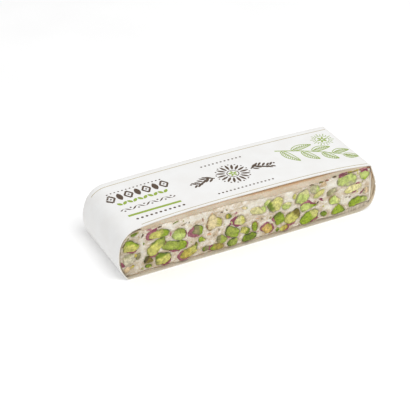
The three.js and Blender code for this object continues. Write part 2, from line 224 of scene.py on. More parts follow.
class Finish:
    """A material under construction round one Principled shader."""

    def __init__(self, name, **constants):
        self.material = bpy.data.materials.new(name)
        self.material.use_nodes = True
        self.tree = self.material.node_tree
        self.shader = self.tree.nodes["Principled BSDF"]
        for socket, value in constants.items():
            self.shader.inputs[socket.replace("_", " ")].default_value = value
        self.place = self.add("ShaderNodeTexCoord", {}, {}, "Object")

    def add(self, kind, settings, inputs, output=0):
        """A new node: its settings first, then its sockets' values or links. Gives one of its outputs."""
        node = self.tree.nodes.new(kind)
        for setting, value in settings.items():
            if setting == "stops":
                ramp = node.color_ramp
                while len(ramp.elements) < len(value):
                    ramp.elements.new(0.5)
                for element, (position, colour) in zip(ramp.elements, value):
                    element.position = position
                    element.color = colour
            else:
                setattr(node, setting, value)
        for socket, value in inputs.items():
            if isinstance(value, Value):
                self.tree.links.new(value.socket, node.inputs[socket])
            else:
                node.inputs[socket].default_value = value
        return Value(self, node.outputs[output])

    def grain(self, size, detail=3.0, roughness=0.5, stretch=(1, 1, 1), seed=0.0):
        """Noise from 0 to 1 with features about size mm across."""
        place = {"Vector": self.place, "Location": (seed, seed, seed), "Scale": stretch}
        moved = self.add("ShaderNodeMapping", {}, place)
        inputs = {"Vector": moved, "Scale": 1 / (size * MM), "Detail": detail, "Roughness": roughness}
        return self.add("ShaderNodeTexNoise", {}, inputs)

    def ramp(self, value, low, high, start=0.0, end=1.0):
        inputs = {"Value": value, "From Min": low, "From Max": high, "To Min": start, "To Max": end}
        return self.add("ShaderNodeMapRange", {"interpolation_type": "SMOOTHSTEP"}, inputs)

    def patches(self, low, high, size, *detail, **more):
        """Patches where noise of this size rises from low to high."""
        return self.ramp(self.grain(size, *detail, **more), low, high)

    def blend(self, share, first, second):
        return self.add("ShaderNodeMix", {"data_type": "RGBA"}, {0: share, 6: first, 7: second}, 2)

    def over(self, colour, *layers):
        """A colour with layers over it, each a mask, the mask's strength and a colour."""
        for mask, strength, layer in layers:
            colour = self.blend(mask * strength, colour, layer)
        return colour

    def shift(self, colour, turn, saturation, brightness):
        inputs = {"Hue": turn, "Saturation": saturation, "Value": brightness, "Color": colour}
        return self.add("ShaderNodeHueSaturation", {}, inputs)

    def height(self):
        return self.add("ShaderNodeSeparateXYZ", {}, {0: self.place}, 2)

    def mark(self, name, output="Fac"):
        return self.add("ShaderNodeAttribute", {"attribute_name": name}, {}, output)

    def bump(self, height, distance, strength=1.0):
        inputs = {"Height": height, "Distance": distance * MM, "Strength": strength}
        return self.add("ShaderNodeBump", {}, inputs)

    def set(self, **links):
        for socket, value in links.items():
            self.tree.links.new(value.socket, self.shader.inputs[socket.replace("_", " ")])
        return self.material


def coated_card():
    finish = Finish("coated_card", Specular_IOR_Level=0.4)
    white = finish.blend(finish.patches(0.3, 0.7, 9, 4), hue(238, 237, 235), hue(241, 241, 240))
    worn = finish.mark("fold") * finish.patches(0.35, 0.7, 1.6, 3)
    fibre = finish.grain(0.22, 3, 0.6)
    return finish.set(
        Base_Color=finish.over(white, (worn, 0.5, hue(222, 218, 210))),
        Roughness=finish.ramp(finish.grain(5), 0.3, 0.7, 0.4, 0.52) + worn * 0.2,
        Normal=finish.bump(fibre + finish.grain(6, 2) * 4.0, 0.012),
    )


def bare_board():
    finish = Finish("bare_board", Specular_IOR_Level=0.25)
    fibre = finish.grain(0.35, 5, 0.7, stretch=(0.35, 1, 1))
    streaks = finish.ramp(fibre, 0.35, 0.65)
    upper = finish.blend(streaks, hue(222, 206, 178), hue(238, 227, 207))
    # lower is a shaded copy of the board: painted shade, blended in below a height of 6 mm
    lower = finish.blend(streaks, hue(184, 174, 154), hue(208, 200, 184))
    board = finish.blend(finish.ramp(finish.height(), 0.006, 0.0), upper, lower)
    fleck = finish.patches(0.62, 0.72, 0.5, 2, seed=0.3)
    return finish.set(
        Base_Color=finish.over(board, (fleck, 0.3, hue(186, 162, 128))),
        Roughness=finish.ramp(fibre, 0.3, 0.7, 0.75, 0.9),
        Normal=finish.bump(fibre, 0.03),
    )


def cut_card():
    finish = Finish("cut_card", Specular_IOR_Level=0.25)
    ply = finish.grain(0.16, 4, 0.7, stretch=(0.3, 1, 1))
    return finish.set(
        Base_Color=finish.blend(finish.ramp(ply, 0.35, 0.65), hue(218, 213, 204), hue(236, 233, 228)),
        Roughness=finish.ramp(ply, 0.3, 0.7, 0.7, 0.9),
        Normal=finish.bump(ply, 0.03),
    )


def ink(name, colour, faded):
    finish = Finish(name, Specular_IOR_Level=0.35)
    thin = finish.patches(0.45, 0.75, 0.7, 4, 0.65)
    return finish.set(
        Base_Color=finish.over(colour, (thin, 0.45, faded)),
        Roughness=finish.ramp(thin, 0.0, 1.0, 0.42, 0.55),
        Normal=finish.bump(finish.grain(0.22, 3, 0.6), 0.008),
    )


def soft_nougat():
    finish = Finish(
        "soft_nougat", Specular_IOR_Level=0.35,
        Subsurface_Weight=0.2, Subsurface_Scale=0.0012, Subsurface_Radius=(1.0, 0.8, 0.55),
    )
    cloud = finish.patches(0.36, 0.64, 5.5, 4, 0.55)
    smear = finish.patches(0.42, 0.66, 2.0, 5, 0.6, stretch=(0.6, 1, 1.2), seed=0.2)
    stain = finish.patches(0.5, 0.64, 2.4, 4, 0.65, seed=0.5)
    blush = finish.patches(0.56, 0.7, 1.6, 4, 0.6, seed=1.1)
    speck = finish.patches(0.57, 0.66, 0.55, 3, 0.6, seed=0.8)
    body = finish.over(
        finish.blend(cloud, hue(192, 173, 145), hue(221, 211, 192)),
        (smear, 0.85, hue(240, 235, 225)),
        (stain, 0.55, hue(186, 165, 126)),
        (blush, 0.4, hue(194, 158, 136)),
        (speck, 0.6, hue(152, 126, 88)),
        # darker round each kernel: painted shade in the groove round it, and the kernel showing through the
        # nougat at its edge
        (finish.mark("socket"), 0.5, hue(160, 144, 112)),
        # partly whiter nougat, partly painted sheen of the film over it
        (finish.mark("white"), 0.6, hue(232, 229, 217)),
        # painted shade: the face darker towards its left end, beside the card's left end panel
        (finish.mark("dusk"), 0.45, hue(158, 146, 122)),
    )
    relief = finish.grain(0.5, 5, 0.65) + finish.grain(1.7, 4) * 1.5
    return finish.set(
        Base_Color=body,
        Roughness=finish.ramp(smear, 0.0, 1.0, 0.42, 0.62),
        Normal=finish.bump(relief, 0.12, 0.8),
    )


def pistachio():
    finish = Finish("pistachio", Specular_IOR_Level=0.3, Coat_Weight=0.06, Coat_Roughness=0.3)
    tint = finish.mark("tint", "Color")
    light = finish.patches(0.5, 0.68, 0.8, 4, 0.7, stretch=(1, 1, 0.7))
    dark = finish.patches(0.5, 0.66, 0.7, 4, 0.75, seed=0.4)
    bright = finish.shift(tint, 0.49, 0.92, 1.45)
    dim = finish.shift(tint, 0.505, 1.05, 0.45)
    return finish.set(
        Base_Color=finish.over(tint, (light, 0.7, bright), (dark, 0.6, dim)),
        Roughness=finish.ramp(dark, 0.0, 1.0, 0.4, 0.6),
        Normal=finish.bump(finish.grain(0.45, 5, 0.7) + light, 0.12, 0.8),
    )


def purple_skin():
    finish = Finish("purple_skin", Specular_IOR_Level=0.4)
    pale = finish.patches(0.5, 0.75, 0.8, 4, 0.65)
    return finish.set(
        Base_Color=finish.over(finish.mark("tint", "Color"), (pale, 0.45, hue(186, 136, 138))),
        Roughness=finish.ramp(pale, 0.0, 1.0, 0.45, 0.65),
        Normal=finish.bump(finish.grain(0.3, 4, 0.7), 0.06),
    )


def chopped_nut():
    finish = Finish("chopped_nut", Specular_IOR_Level=0.4)
    stops = [
        (0.36, hue(138, 124, 82)), (0.46, hue(164, 164, 98)),
        (0.56, hue(196, 186, 146)), (0.66, hue(172, 136, 112)),
    ]
    kind = finish.add("ShaderNodeValToRGB", {"stops": stops}, {0: finish.grain(4.0, 1, seed=0.6)})
    fine = finish.grain(0.3, 4, 0.65)
    return finish.set(
        Base_Color=finish.over(kind, (finish.ramp(fine, 0.5, 0.75), 0.4, hue(206, 200, 160))),
        Roughness=finish.ramp(fine, 0.3, 0.7, 0.45, 0.65),
        Normal=finish.bump(fine, 0.05),
    )


def wafer_sheet():
    finish = Finish("wafer_sheet", Specular_IOR_Level=0.2, Subsurface_Weight=0.1, Subsurface_Scale=0.0008)
    bake = finish.patches(0.35, 0.65, 5, 4, 0.55, stretch=(0.5, 1, 1))
    pore = finish.patches(0.4, 0.62, 0.45, 3, 0.6)
    crisp = finish.blend(bake, hue(206, 190, 165), hue(220, 208, 188))
    # painted shade: the sheet browner behind its front edge, under the card's overhanging edge
    shaded_under_card = finish.blend(finish.mark("toast"), crisp, hue(202, 166, 128))
    return finish.set(
        Base_Color=finish.over(shaded_under_card, (pore, 0.3, hue(182, 152, 120))),
        Roughness=finish.ramp(pore, 0.0, 1.0, 0.75, 0.92),
        Normal=finish.bump(pore + finish.grain(2.5, 3), 0.08),
    )


def milky_film():
    finish = Finish("milky_film", Specular_IOR_Level=0.6)
    fold = finish.grain(1.6, 4, 0.6, stretch=(2.4, 1, 0.22))
    # painted shade: the film is coloured as the shaded card and bar behind it, in streaks along its creases,
    # and warmer higher up under the top panel
    body = finish.blend(finish.ramp(fold, 0.41, 0.59), hue(138, 116, 86), hue(204, 188, 160))
    painted_warm_shade = finish.over(body, (finish.ramp(finish.height(), 0.014, 0.022), 0.6, hue(178, 128, 76)))
    return finish.set(
        Base_Color=finish.blend(finish.mark("milky"), painted_warm_shade, hue(240, 236, 226)),
        Roughness=finish.ramp(fold, 0.3, 0.7, 0.25, 0.45),
        Normal=finish.bump(fold, 0.25, 0.7),
    )


def pale_floor():
    finish = Finish("pale_floor", Specular_IOR_Level=0.1, Emission_Strength=0.08)
    tone = finish.patches(0.3, 0.7, 60, 3)
    return finish.set(
        Base_Color=finish.blend(tone, hue(250, 250, 250), hue(253, 253, 253)),
        Roughness=finish.ramp(tone, 0.0, 1.0, 0.85, 0.95),
    )


CARD_WHITE = coated_card()
BOARD = bare_board()
CUT_CARD = cut_card()
INK_BROWN = ink("ink_brown", hue(84, 66, 50), hue(120, 100, 82))
INK_GREEN = ink("ink_green", hue(148, 172, 62), hue(178, 194, 104))
INK_LEAF = ink("ink_leaf", hue(146, 170, 56), hue(190, 204, 128))
INK_GOLD = ink("ink_gold", hue(172, 156, 104), hue(206, 194, 158))
NOUGAT = soft_nougat()
PISTACHIO = pistachio()
SKIN = purple_skin()
CHOPPED = chopped_nut()
WAFER_SHEET = wafer_sheet()
FILM = milky_film()


# ---- Carton ----

CARTON_ROWS = 30
FOLD_ROWS = 5
BACK_SHARES = (0.03, 0.1, 0.25, 0.5, 0.8)  # how far each ring of the back panel lies towards its middle
WORN_WITHIN, WHOLE_BEYOND = 0.3, 1.4  # distances from a fold between which its wear fades out


def crown(x):
    return CROWN * np.maximum(0.0, 1 - (x / HALF) ** 2)


def setback(x):
    """How far the top panel's front edge is cut back."""
    return TOP_SETBACK * np.maximum(0, 1 - np.abs(x / HALF) ** SETBACK_POWER)


def bezier(points, steps, end=1.0):
    t = np.linspace(0, end, steps + 1)[:, None]
    a, b, c, d = (np.array(p) for p in points)
    return (1 - t) ** 3 * a + 3 * (1 - t) ** 2 * t * b + 3 * (1 - t) * t ** 2 * c + t ** 3 * d


def fold(before, corner, after):
    """The points inside a fold that rounds one corner of the card's line."""
    t = np.linspace(0, 1, FOLD_STEPS + 2)[1:-1, None]
    return (1 - t) ** 2 * before + 2 * t * (1 - t) * np.array(corner) + t ** 2 * after


def card_line(share):
    """The card's outer line in X and Z: top from right to left, left end down, bottom, right end up."""
    bulge = BULGE_FRONT + (BULGE_BACK - BULGE_FRONT) * share
    shoulder_end = -HALF + SHOULDER + SHOULDER_GROWTH * share
    waist = BULGE_HEIGHT - BULGE_DROP * share
    left, right = -HALF - bulge, HALF + bulge
    left_crease, right_crease = (-HALF, 0), (HALF, CARTON_HEIGHT)

    x = np.linspace(HALF - CREASE, shoulder_end, LINE_STEPS["top"])
    top = np.stack([x, CARTON_HEIGHT + crown(x)], 1)
    join = top[-1]
    along = (join[0] - HANDLES["shoulder"], join[1] - SHOULDER_FALL)
    above, below = (left, waist + HANDLES["left_up"]), (left, waist - HANDLES["left_down"])
    heel = (-HALF - HEEL_SHARE * bulge, HEEL_HEIGHT)
    shoulder = bezier([join, along, above, (left, waist)], LINE_STEPS["shoulder"])
    left_foot = bezier([(left, waist), below, heel, left_crease], LINE_STEPS["left_foot"], LEFT_END)
    x = np.linspace(-HALF + CREASE, HALF - FOOT, LINE_STEPS["bottom"])
    bottom = np.stack([x, np.zeros_like(x)], 1)
    above, below = (right, waist + HANDLES["right_up"]), (right, waist - HANDLES["right_down"])
    brow = (HALF + BROW_SHARE * bulge, BROW_HEIGHT)
    right_foot = bezier([(HALF - FOOT, 0), (HALF, 0), below, (right, waist)], LINE_STEPS["right_foot"])
    right_end = bezier([(right, waist), above, brow, right_crease], LINE_STEPS["right_end"], RIGHT_END)
    return np.concatenate([
        top, shoulder[1:], left_foot[1:],
        fold(left_foot[-1], left_crease, bottom[0]), bottom,
        right_foot[1:], right_end[1:],
        fold(right_end[-1], right_crease, top[0]),
    ])


def inset(line, distance):
    """The closed line moved inwards."""
    a = line - np.roll(line, 1, 0)
    b = np.roll(line, -1, 0) - line
    a /= np.linalg.norm(a, axis=1)[:, None]
    b /= np.linalg.norm(b, axis=1)[:, None]
    inward = np.stack([-a[:, 1] - b[:, 1], a[:, 0] + b[:, 0]], 1)
    inward /= np.linalg.norm(inward, axis=1)[:, None]
    square = np.maximum(0.5, inward[:, 0] * -a[:, 1] + inward[:, 1] * a[:, 0])
    return line + inward * (distance / square)[:, None]


def shrink(line, distance):
    """The closed line drawn in towards its middle, by the same distance at its widest places."""
    low, high = line.min(0), line.max(0)
    return (low + high) / 2 + (line - (low + high) / 2) * (1 - 2 * distance / (high - low))


def front_edge(line):
    """Where the card's front edge lies at each point of its line."""
    x, z = line[:, 0], line[:, 1]
    on_top = smoothstep(z, CARTON_HEIGHT - SETBACK_FADE[0], CARTON_HEIGHT - SETBACK_FADE[1])
    lip = -BOTTOM_LIP * (1 - smoothstep(z, 0, LIP_RISE))
    nick = np.where(x > HALF, NICK_DEPTH * np.maximum(0, 1 - np.abs(z - NICK_HEIGHT) / NICK_HALF), 0)
    return setback(x) * on_top + lip + nick


def between(front, back, share):
    return front * (1 - share) + back * share


FRONT_LINE = card_line(0)
BACK_LINE = card_line(1)
CARD_EDGE = front_edge(FRONT_LINE)


def card_ring(front, back, depth):
    line = between(front, back, (np.maximum(0, depth) / CARTON_WIDTH)[:, None])
    return xyz(line[:, 0], depth, line[:, 1])


def carton_rings():
    """
    The carton's rings: outside to the back, over the fold to the back panel's middle, and inside to the
    front again. With each ring comes the distance of its points from that fold, and with all the number
    of rings outside.
    """
    count = len(FRONT_LINE)
    rings, from_fold = [], []
    for k in range(CARTON_ROWS + 1):
        depth = CARD_EDGE + (CARTON_WIDTH - BACK_FOLD - CARD_EDGE) * k / CARTON_ROWS
        rings.append(card_ring(FRONT_LINE, BACK_LINE, depth))
        from_fold.append(CARTON_WIDTH - BACK_FOLD - depth)
    for k in range(1, FOLD_ROWS + 1):
        angle = math.radians(90) * k / FOLD_ROWS
        line = shrink(BACK_LINE, BACK_FOLD * (1 - math.cos(angle)))
        depth = CARTON_WIDTH - BACK_FOLD + BACK_FOLD * math.sin(angle)
        rings.append(xyz(line[:, 0], np.full(count, depth), line[:, 1]))
        from_fold.append(np.zeros(count))
    rim = rings[-1]
    middle = np.array([0, CARTON_WIDTH, CARTON_HEIGHT / 2])
    for share in BACK_SHARES:
        rings.append(rim + (middle - rim) * share)
        from_fold.append(np.full(count, share * CARTON_HEIGHT))
    outside = len(rings)
    inner_front, inner_back = inset(FRONT_LINE, CARD), inset(BACK_LINE, CARD)
    for k in range(CARTON_ROWS, -1, -1):
        depth = CARD_EDGE + (CARTON_WIDTH - CARD - CARD_EDGE) * k / CARTON_ROWS
        rings.append(card_ring(inner_front, inner_back, depth))
        from_fold.append(np.full(count, CARTON_WIDTH))
    return rings, np.concatenate(from_fold), outside


def build_carton():
    count = len(FRONT_LINE)
    rings, from_fold, outside = carton_rings()
    points = np.concatenate(rings)
    numbers = [range(k * count, (k + 1) * count) for k in range(len(rings))]
    coated, board, cut = range(3)
    faces, zones = [], []
    for k in range(len(rings)):
        if k == outside - 1:
            continue
        faces += band(numbers[k], numbers[(k + 1) % len(rings)])
        zones += [coated if k < outside else board if k < len(rings) - 1 else cut] * count
    faces += [tuple(reversed(numbers[outside - 1])), tuple(numbers[outside])]
    zones += [coated, board]

    left_crease = np.hypot(points[:, 0] + HALF, points[:, 2])
    right_crease = np.hypot(points[:, 0] - HALF, points[:, 2] - CARTON_HEIGHT)
    nearest = np.minimum(np.minimum(left_crease, right_crease), from_fold + WORN_WITHIN)
    worn = {"fold": 1 - smoothstep(nearest, WORN_WITHIN, WHOLE_BEYOND)}
    carton = solid("carton_card", points, faces, [CARD_WHITE, BOARD, CUT_CARD], 40, zones, worn)
    belongs(carton, "card", "carton")


build_carton()


# ---- Print ----

INK_LIFT = 0.03  # how far ink stands above the card
INK_SINK = 0.12  # and how deep each printed shape is let in, so that it is a closed solid

Walk = namedtuple("Walk", "along line normal")


def unroll(share):
    """Distances along the card's outer line from the right crease, its points, and outward normals."""
    line = between(FRONT_LINE, BACK_LINE, share)
    step = np.linalg.norm(np.diff(line, axis=0), axis=1)
    along = np.concatenate([[0], np.cumsum(step)]) + CREASE
    tangent = np.roll(line, -1, 0) - np.roll(line, 1, 0)
    normal = np.stack([tangent[:, 1], -tangent[:, 0]], 1)
    normal /= np.linalg.norm(normal, axis=1)[:, None]
    return Walk(along, line, normal)


def on_card(x, y, lift):
    """A place on the printed side: x counts along the top and on round the left bend."""
    walk = unroll(max(0.0, y) / CARTON_WIDTH)
    px, pz, nx, nz = (np.interp(HALF - x, walk.along, row) for row in (*walk.line.T, *walk.normal.T))
    return (px + nx * lift, y, pz + nz * lift)


def stroke(start, end, steps=3):
    return np.linspace(start, end, steps)


def heading(degrees):
    return np.array([math.cos(math.radians(degrees)), math.sin(math.radians(degrees))])


class Print:
    """Shapes of one ink, each a thin closed solid let into the card."""

    def __init__(self):
        self.points = []
        self.faces = []

    def ribbon(self, path, width):
        """A stroke along a path, as wide as width says for each point."""
        path = np.asarray(path, float)
        width = np.broadcast_to(width, len(path))
        run = np.gradient(path, axis=0)
        run /= np.linalg.norm(run, axis=1)[:, None]
        side = np.stack([-run[:, 1], run[:, 0]], 1) * width[:, None] / 2
        first = len(self.points)
        for centre, offset in zip(path, side):
            left, right = centre + offset, centre - offset
            for (x, y), lift in ((left, INK_LIFT), (right, INK_LIFT), (right, -INK_SINK), (left, -INK_SINK)):
                self.points.append(on_card(x, y, lift))
        rings = [range(a, a + 4) for a in range(first, len(self.points), 4)]
        for here, there in zip(rings, rings[1:]):
            self.faces += inside_out(band(here, there))
        self.faces += [tuple(reversed(rings[0])), tuple(rings[-1])]

    def leaf(self, centre, length, width, angle, steps=9):
        """A filled pointed oval."""
        t = np.linspace(-1, 1, steps)
        path = np.outer(t * length / 2, heading(angle)) + centre
        self.ribbon(path, np.maximum(0.04, width * (1 - t ** 2) ** 0.8))

    def dot(self, centre, radius):
        self.leaf(centre, 2 * radius, 1.8 * radius, 0, 7)

    def ring(self, centre, radius, width, steps=48):
        turns = np.linspace(0, 2 * math.pi, steps + 1)
        self.ribbon(np.stack([np.cos(turns), np.sin(turns)], 1) * radius + centre, width)

    def lozenge(self, centre, length, height, width):
        """The outline of a diamond, in four strokes."""
        corners = np.array([(length / 2, 0), (0, height / 2), (-length / 2, 0), (0, -height / 2)]) + centre
        for start, end in zip(corners, np.roll(corners, -1, 0)):
            self.ribbon(stroke(start, end), width)

    def beads(self, left, right, y, radius, count):
        """A row of equal dots."""
        for x in np.linspace(left, right, count):
            self.dot((x, y), radius)

    def make(self, name, material):
        belongs(solid(name, self.points, self.faces, [material], 30), "card")


HAIRLINE = 0.34  # width of the fine lines along both edges of the top
HAIRLINE_RIGHT = HALF - 1.2
NEAR_LINE, NEAR_LINE_LEFT = 1.8, -HALF + 10  # the near one's distance behind the edge, and its left end
FAR_LINE, FAR_LINE_LEFT = 42.2, -HALF  # and the far one's distance behind the window

FRIEZE_LEFT, FRIEZE_RIGHT = -61.5, -33.0  # the panel of ornament at the left
DIAMOND_ROW, SPRIG_ROW, WAVE_ROW = 30.5, 24.3, 18.4
UPPER_BEADS, LOWER_BEADS = 35.2, 8.7
RULE_START, RULE_END, RULE = (-60.4, 12.9), (-32.6, 12.4), 1.5  # a plain green rule and its width

ROSETTE = np.array([1.5, 23.0])
PETALS = 16
WING_START, WING_REACH, WING_WAVE = 10.2, 12.0, 1.3

SUN = np.array([59.5, 33.2])
RAYS = 20
SPRAY_START, SPRAY_END = np.array([31.0, 33.0]), np.array([66.0, 11.5])
SPRAY_LEAVES = 7
HATCH = 0.34  # width of the short strokes in its leaves


def print_hairlines():
    gold = Print()
    x = np.linspace(HAIRLINE_RIGHT, NEAR_LINE_LEFT, 110)
    gold.ribbon(np.stack([x, setback(x) + NEAR_LINE], 1), HAIRLINE)
    gold.ribbon(stroke((HAIRLINE_RIGHT, FAR_LINE), (FAR_LINE_LEFT, FAR_LINE), 110), HAIRLINE)
    gold.make("hairlines", INK_GOLD)


def print_frieze():
    """A frieze of diamonds and seeds, a wave, and two rows of beads."""
    brown = Print()
    for k, x in enumerate(np.linspace(FRIEZE_LEFT, FRIEZE_RIGHT, 7)):
        if k % 2:
            brown.leaf((x, DIAMOND_ROW), 6.4, 3.0, 90)
        else:
            brown.lozenge((x, DIAMOND_ROW), 4.3, 6.4, 1.0)
            brown.dot((x, DIAMOND_ROW), 0.6)
    waves = 4
    t = np.linspace(0, 1, 90)
    wave = WAVE_ROW + 1.1 * np.sin(2 * math.pi * waves * t)
    x = FRIEZE_LEFT + (FRIEZE_RIGHT - FRIEZE_LEFT) * t
    brown.ribbon(np.stack([x, wave], 1), 0.45 + 0.35 * np.cos(4 * math.pi * waves * t))
    for k in range(2 * waves):
        x = FRIEZE_LEFT + (FRIEZE_RIGHT - FRIEZE_LEFT) * (k + 0.5) / (2 * waves)
        brown.dot((x, WAVE_ROW + (0.9 if k % 2 else -0.9)), 0.55)
    brown.beads(FRIEZE_LEFT + 4, FRIEZE_RIGHT, LOWER_BEADS, 0.75, 11)
    brown.beads(FRIEZE_LEFT, FRIEZE_RIGHT, UPPER_BEADS, 0.5, 15)
    brown.make("frieze_print", INK_BROWN)


def print_rosette():
    """A rosette between two leafy wings, with a row of beads above and below."""
    brown = Print()
    for k in range(PETALS):
        turn = 360 / PETALS * k
        brown.leaf(heading(turn) * 6.2 + ROSETTE, 5.0, 1.35, turn)
        brown.dot(heading(turn + 180 / PETALS) * 8.6 + ROSETTE, 0.5)
    brown.ring(ROSETTE, 3.0, 0.45)
    t = np.linspace(0, 1, 60)
    for side in (1, -1):
        reach = side * (WING_START + WING_REACH * t)
        wing = ROSETTE + np.stack([reach, WING_WAVE * np.sin(2 * math.pi * t)], 1)
        brown.ribbon(wing, 0.8 - 0.45 * t)
        for k in range(4, 58, 9):
            for way in (1, -1):
                slant = 90 - side * (90 - way * 42)
                brown.leaf(wing[k] + 2.0 * heading(slant), 4.0 - 0.02 * k, 1.25, slant)
        brown.dot(wing[-1] + (side * 1.1, 0), 0.65)
    brown.beads(-13.5, 16.5, 9.4, 0.6, 15)
    brown.beads(-9.5, 12.5, 35.8, 0.6, 11)
    brown.make("rosette_print", INK_BROWN)


def print_green():
    """A row of leaves, the plain rule, and the hearts of the rosette and the sun."""
    green = Print()
    for k, x in enumerate(np.linspace(FRIEZE_LEFT + 2, FRIEZE_RIGHT - 2, 10)):
        green.leaf((x, SPRIG_ROW), 3.4, 1.8, 50 if k % 2 else -50)
    green.ribbon(stroke(RULE_START, RULE_END, 12), RULE)
    for centre, count, start, reach, length in ((ROSETTE, 5, 18, 1.4, 2.2), (SUN, 6, 0, 1.7, 2.6)):
        for k in range(count):
            turn = start + 360 / count * k
            green.leaf(heading(turn) * reach + centre, length, 1.2, turn)
    green.make("green_print", INK_GREEN)


def spray_leaf(fine, base, length, angle, side):
    """A hatched leaf: its midrib, both edges, and short strokes between them."""
    out = heading(angle)
    across = np.array([-out[1], out[0]])
    t = np.linspace(0.0, 1.0, 24)
    rib = base + np.outer(t * length, out) + np.outer(0.8 * side * np.sin(math.pi * t), across)
    wide = 2.2 * np.sin(math.pi * t ** 0.8) ** 0.8
    fine.ribbon(rib, 0.5 - 0.25 * t)
    for edge in (1, -1):
        fine.ribbon(rib[1:] + edge * np.outer(wide[1:], across), 0.48)
        for m in range(3, 21, 2):
            reach = wide[m] * (0.9 if edge < 0 else 0.5)
            fine.ribbon(stroke(rib[m], rib[m] + edge * across * reach + out), HATCH)


def print_spray():
    """Fine line work: a spray of hatched leaves, and a small sun of rays."""
    fine = Print()
    fine.ring(SUN, 3.7, 0.35)
    for k in range(RAYS):
        reach = heading(360 / RAYS * k)
        fine.ribbon(stroke(SUN + 4.3 * reach, SUN + (6.2 if k % 2 else 5.4) * reach), 0.4)

    t = np.linspace(0, 1, 40)
    run = SPRAY_END - SPRAY_START
    bow = np.outer(2.0 * np.sin(math.pi * t), heading(60))
    stem = SPRAY_START + np.outer(t, run) + bow
    fine.ribbon(stem, 0.75 - 0.4 * t)
    lie = math.degrees(math.atan2(run[1], run[0]))
    for k in range(SPRAY_LEAVES):
        side = 1 if k % 2 else -1
        lean = side * (40 - 2 * k) if k < SPRAY_LEAVES - 1 else 0
        spray_leaf(fine, stem[3 + 5 * k], 13.5 - 0.8 * k, lie + lean, side)
    fine.make("spray_print", INK_LEAF)


print_hairlines()
print_frieze()
print_rosette()
print_green()
print_spray()


# ---- The bar's own form ----

def bar_top(x, y):
    """The bar's top, which dips along the cut face and rises again behind it."""
    dip = TOP_DIP * np.exp(-(((x - TOP_DIP_AT) / TOP_DIP_HALF) ** 4)) * (1 - smoothstep(y, DIP_FROM, DIP_TO))
    return CARTON_HEIGHT + crown(x) - CARD - WAFER - 2 * GAP - BAR_SLACK - dip


def bar_floor(x):
    return BAR_FLOOR + END_LIFT * smoothstep(x, END_LIFT_FROM, END_LIFT_TO)


def cut_face(x, z):
    """How far the knife's cut lies behind the window's plane, before any fine relief."""
    return sum(height * np.sin(x * along + z * up + start) for height, along, up, start in FACE_WAVES)


def end_wall(side, z, share):
    """The inner face of the left or right end panel, side -1 or 1, with clearance."""
    line = between(FRONT_LINE, BACK_LINE, share)
    panel = line[(line[:, 0] * side > HALF - SHOULDER - SHOULDER_GROWTH) & (line[:, 1] < CARTON_HEIGHT)]
    panel = panel[np.argsort(panel[:, 1])]
    return np.interp(z, panel[:, 1], panel[:, 0]) - side * (CARD * WALL_SLOPE + GAP)


def press_in(x, z, share):
    """Moves places towards the middle, so that both ends stay inside the carton."""
    near_left = np.maximum(0, 1 - (x - BAR_LEFT) / BAR_BLEND)
    near_right = np.maximum(0, 1 - (BAR_RIGHT - x) / BAR_BLEND)
    from_left = np.maximum(0, end_wall(-1, z, share) - BAR_LEFT)
    from_right = np.maximum(0, BAR_RIGHT - end_wall(1, z, share))
    return x + from_left * near_left - from_right * near_right


# ---- Pistachios on the cut face ----

# Each kernel as it was cut: distance along the bar, height, length, width, tilt; its form; its main
# colour, a second one and the direction in degrees in which that lies; its rim; and the purple skin
# left on it, as a start and an end in degrees round the kernel and a width; and dents in its edge, as
# a direction in its own frame, a depth as a share of the radius, and a spread in degrees.
NUT_FIELDS = "x z length width tilt form tone other lean rim skins dents"
Nut = namedtuple("Nut", NUT_FIELDS, defaults=("green", (), ()))

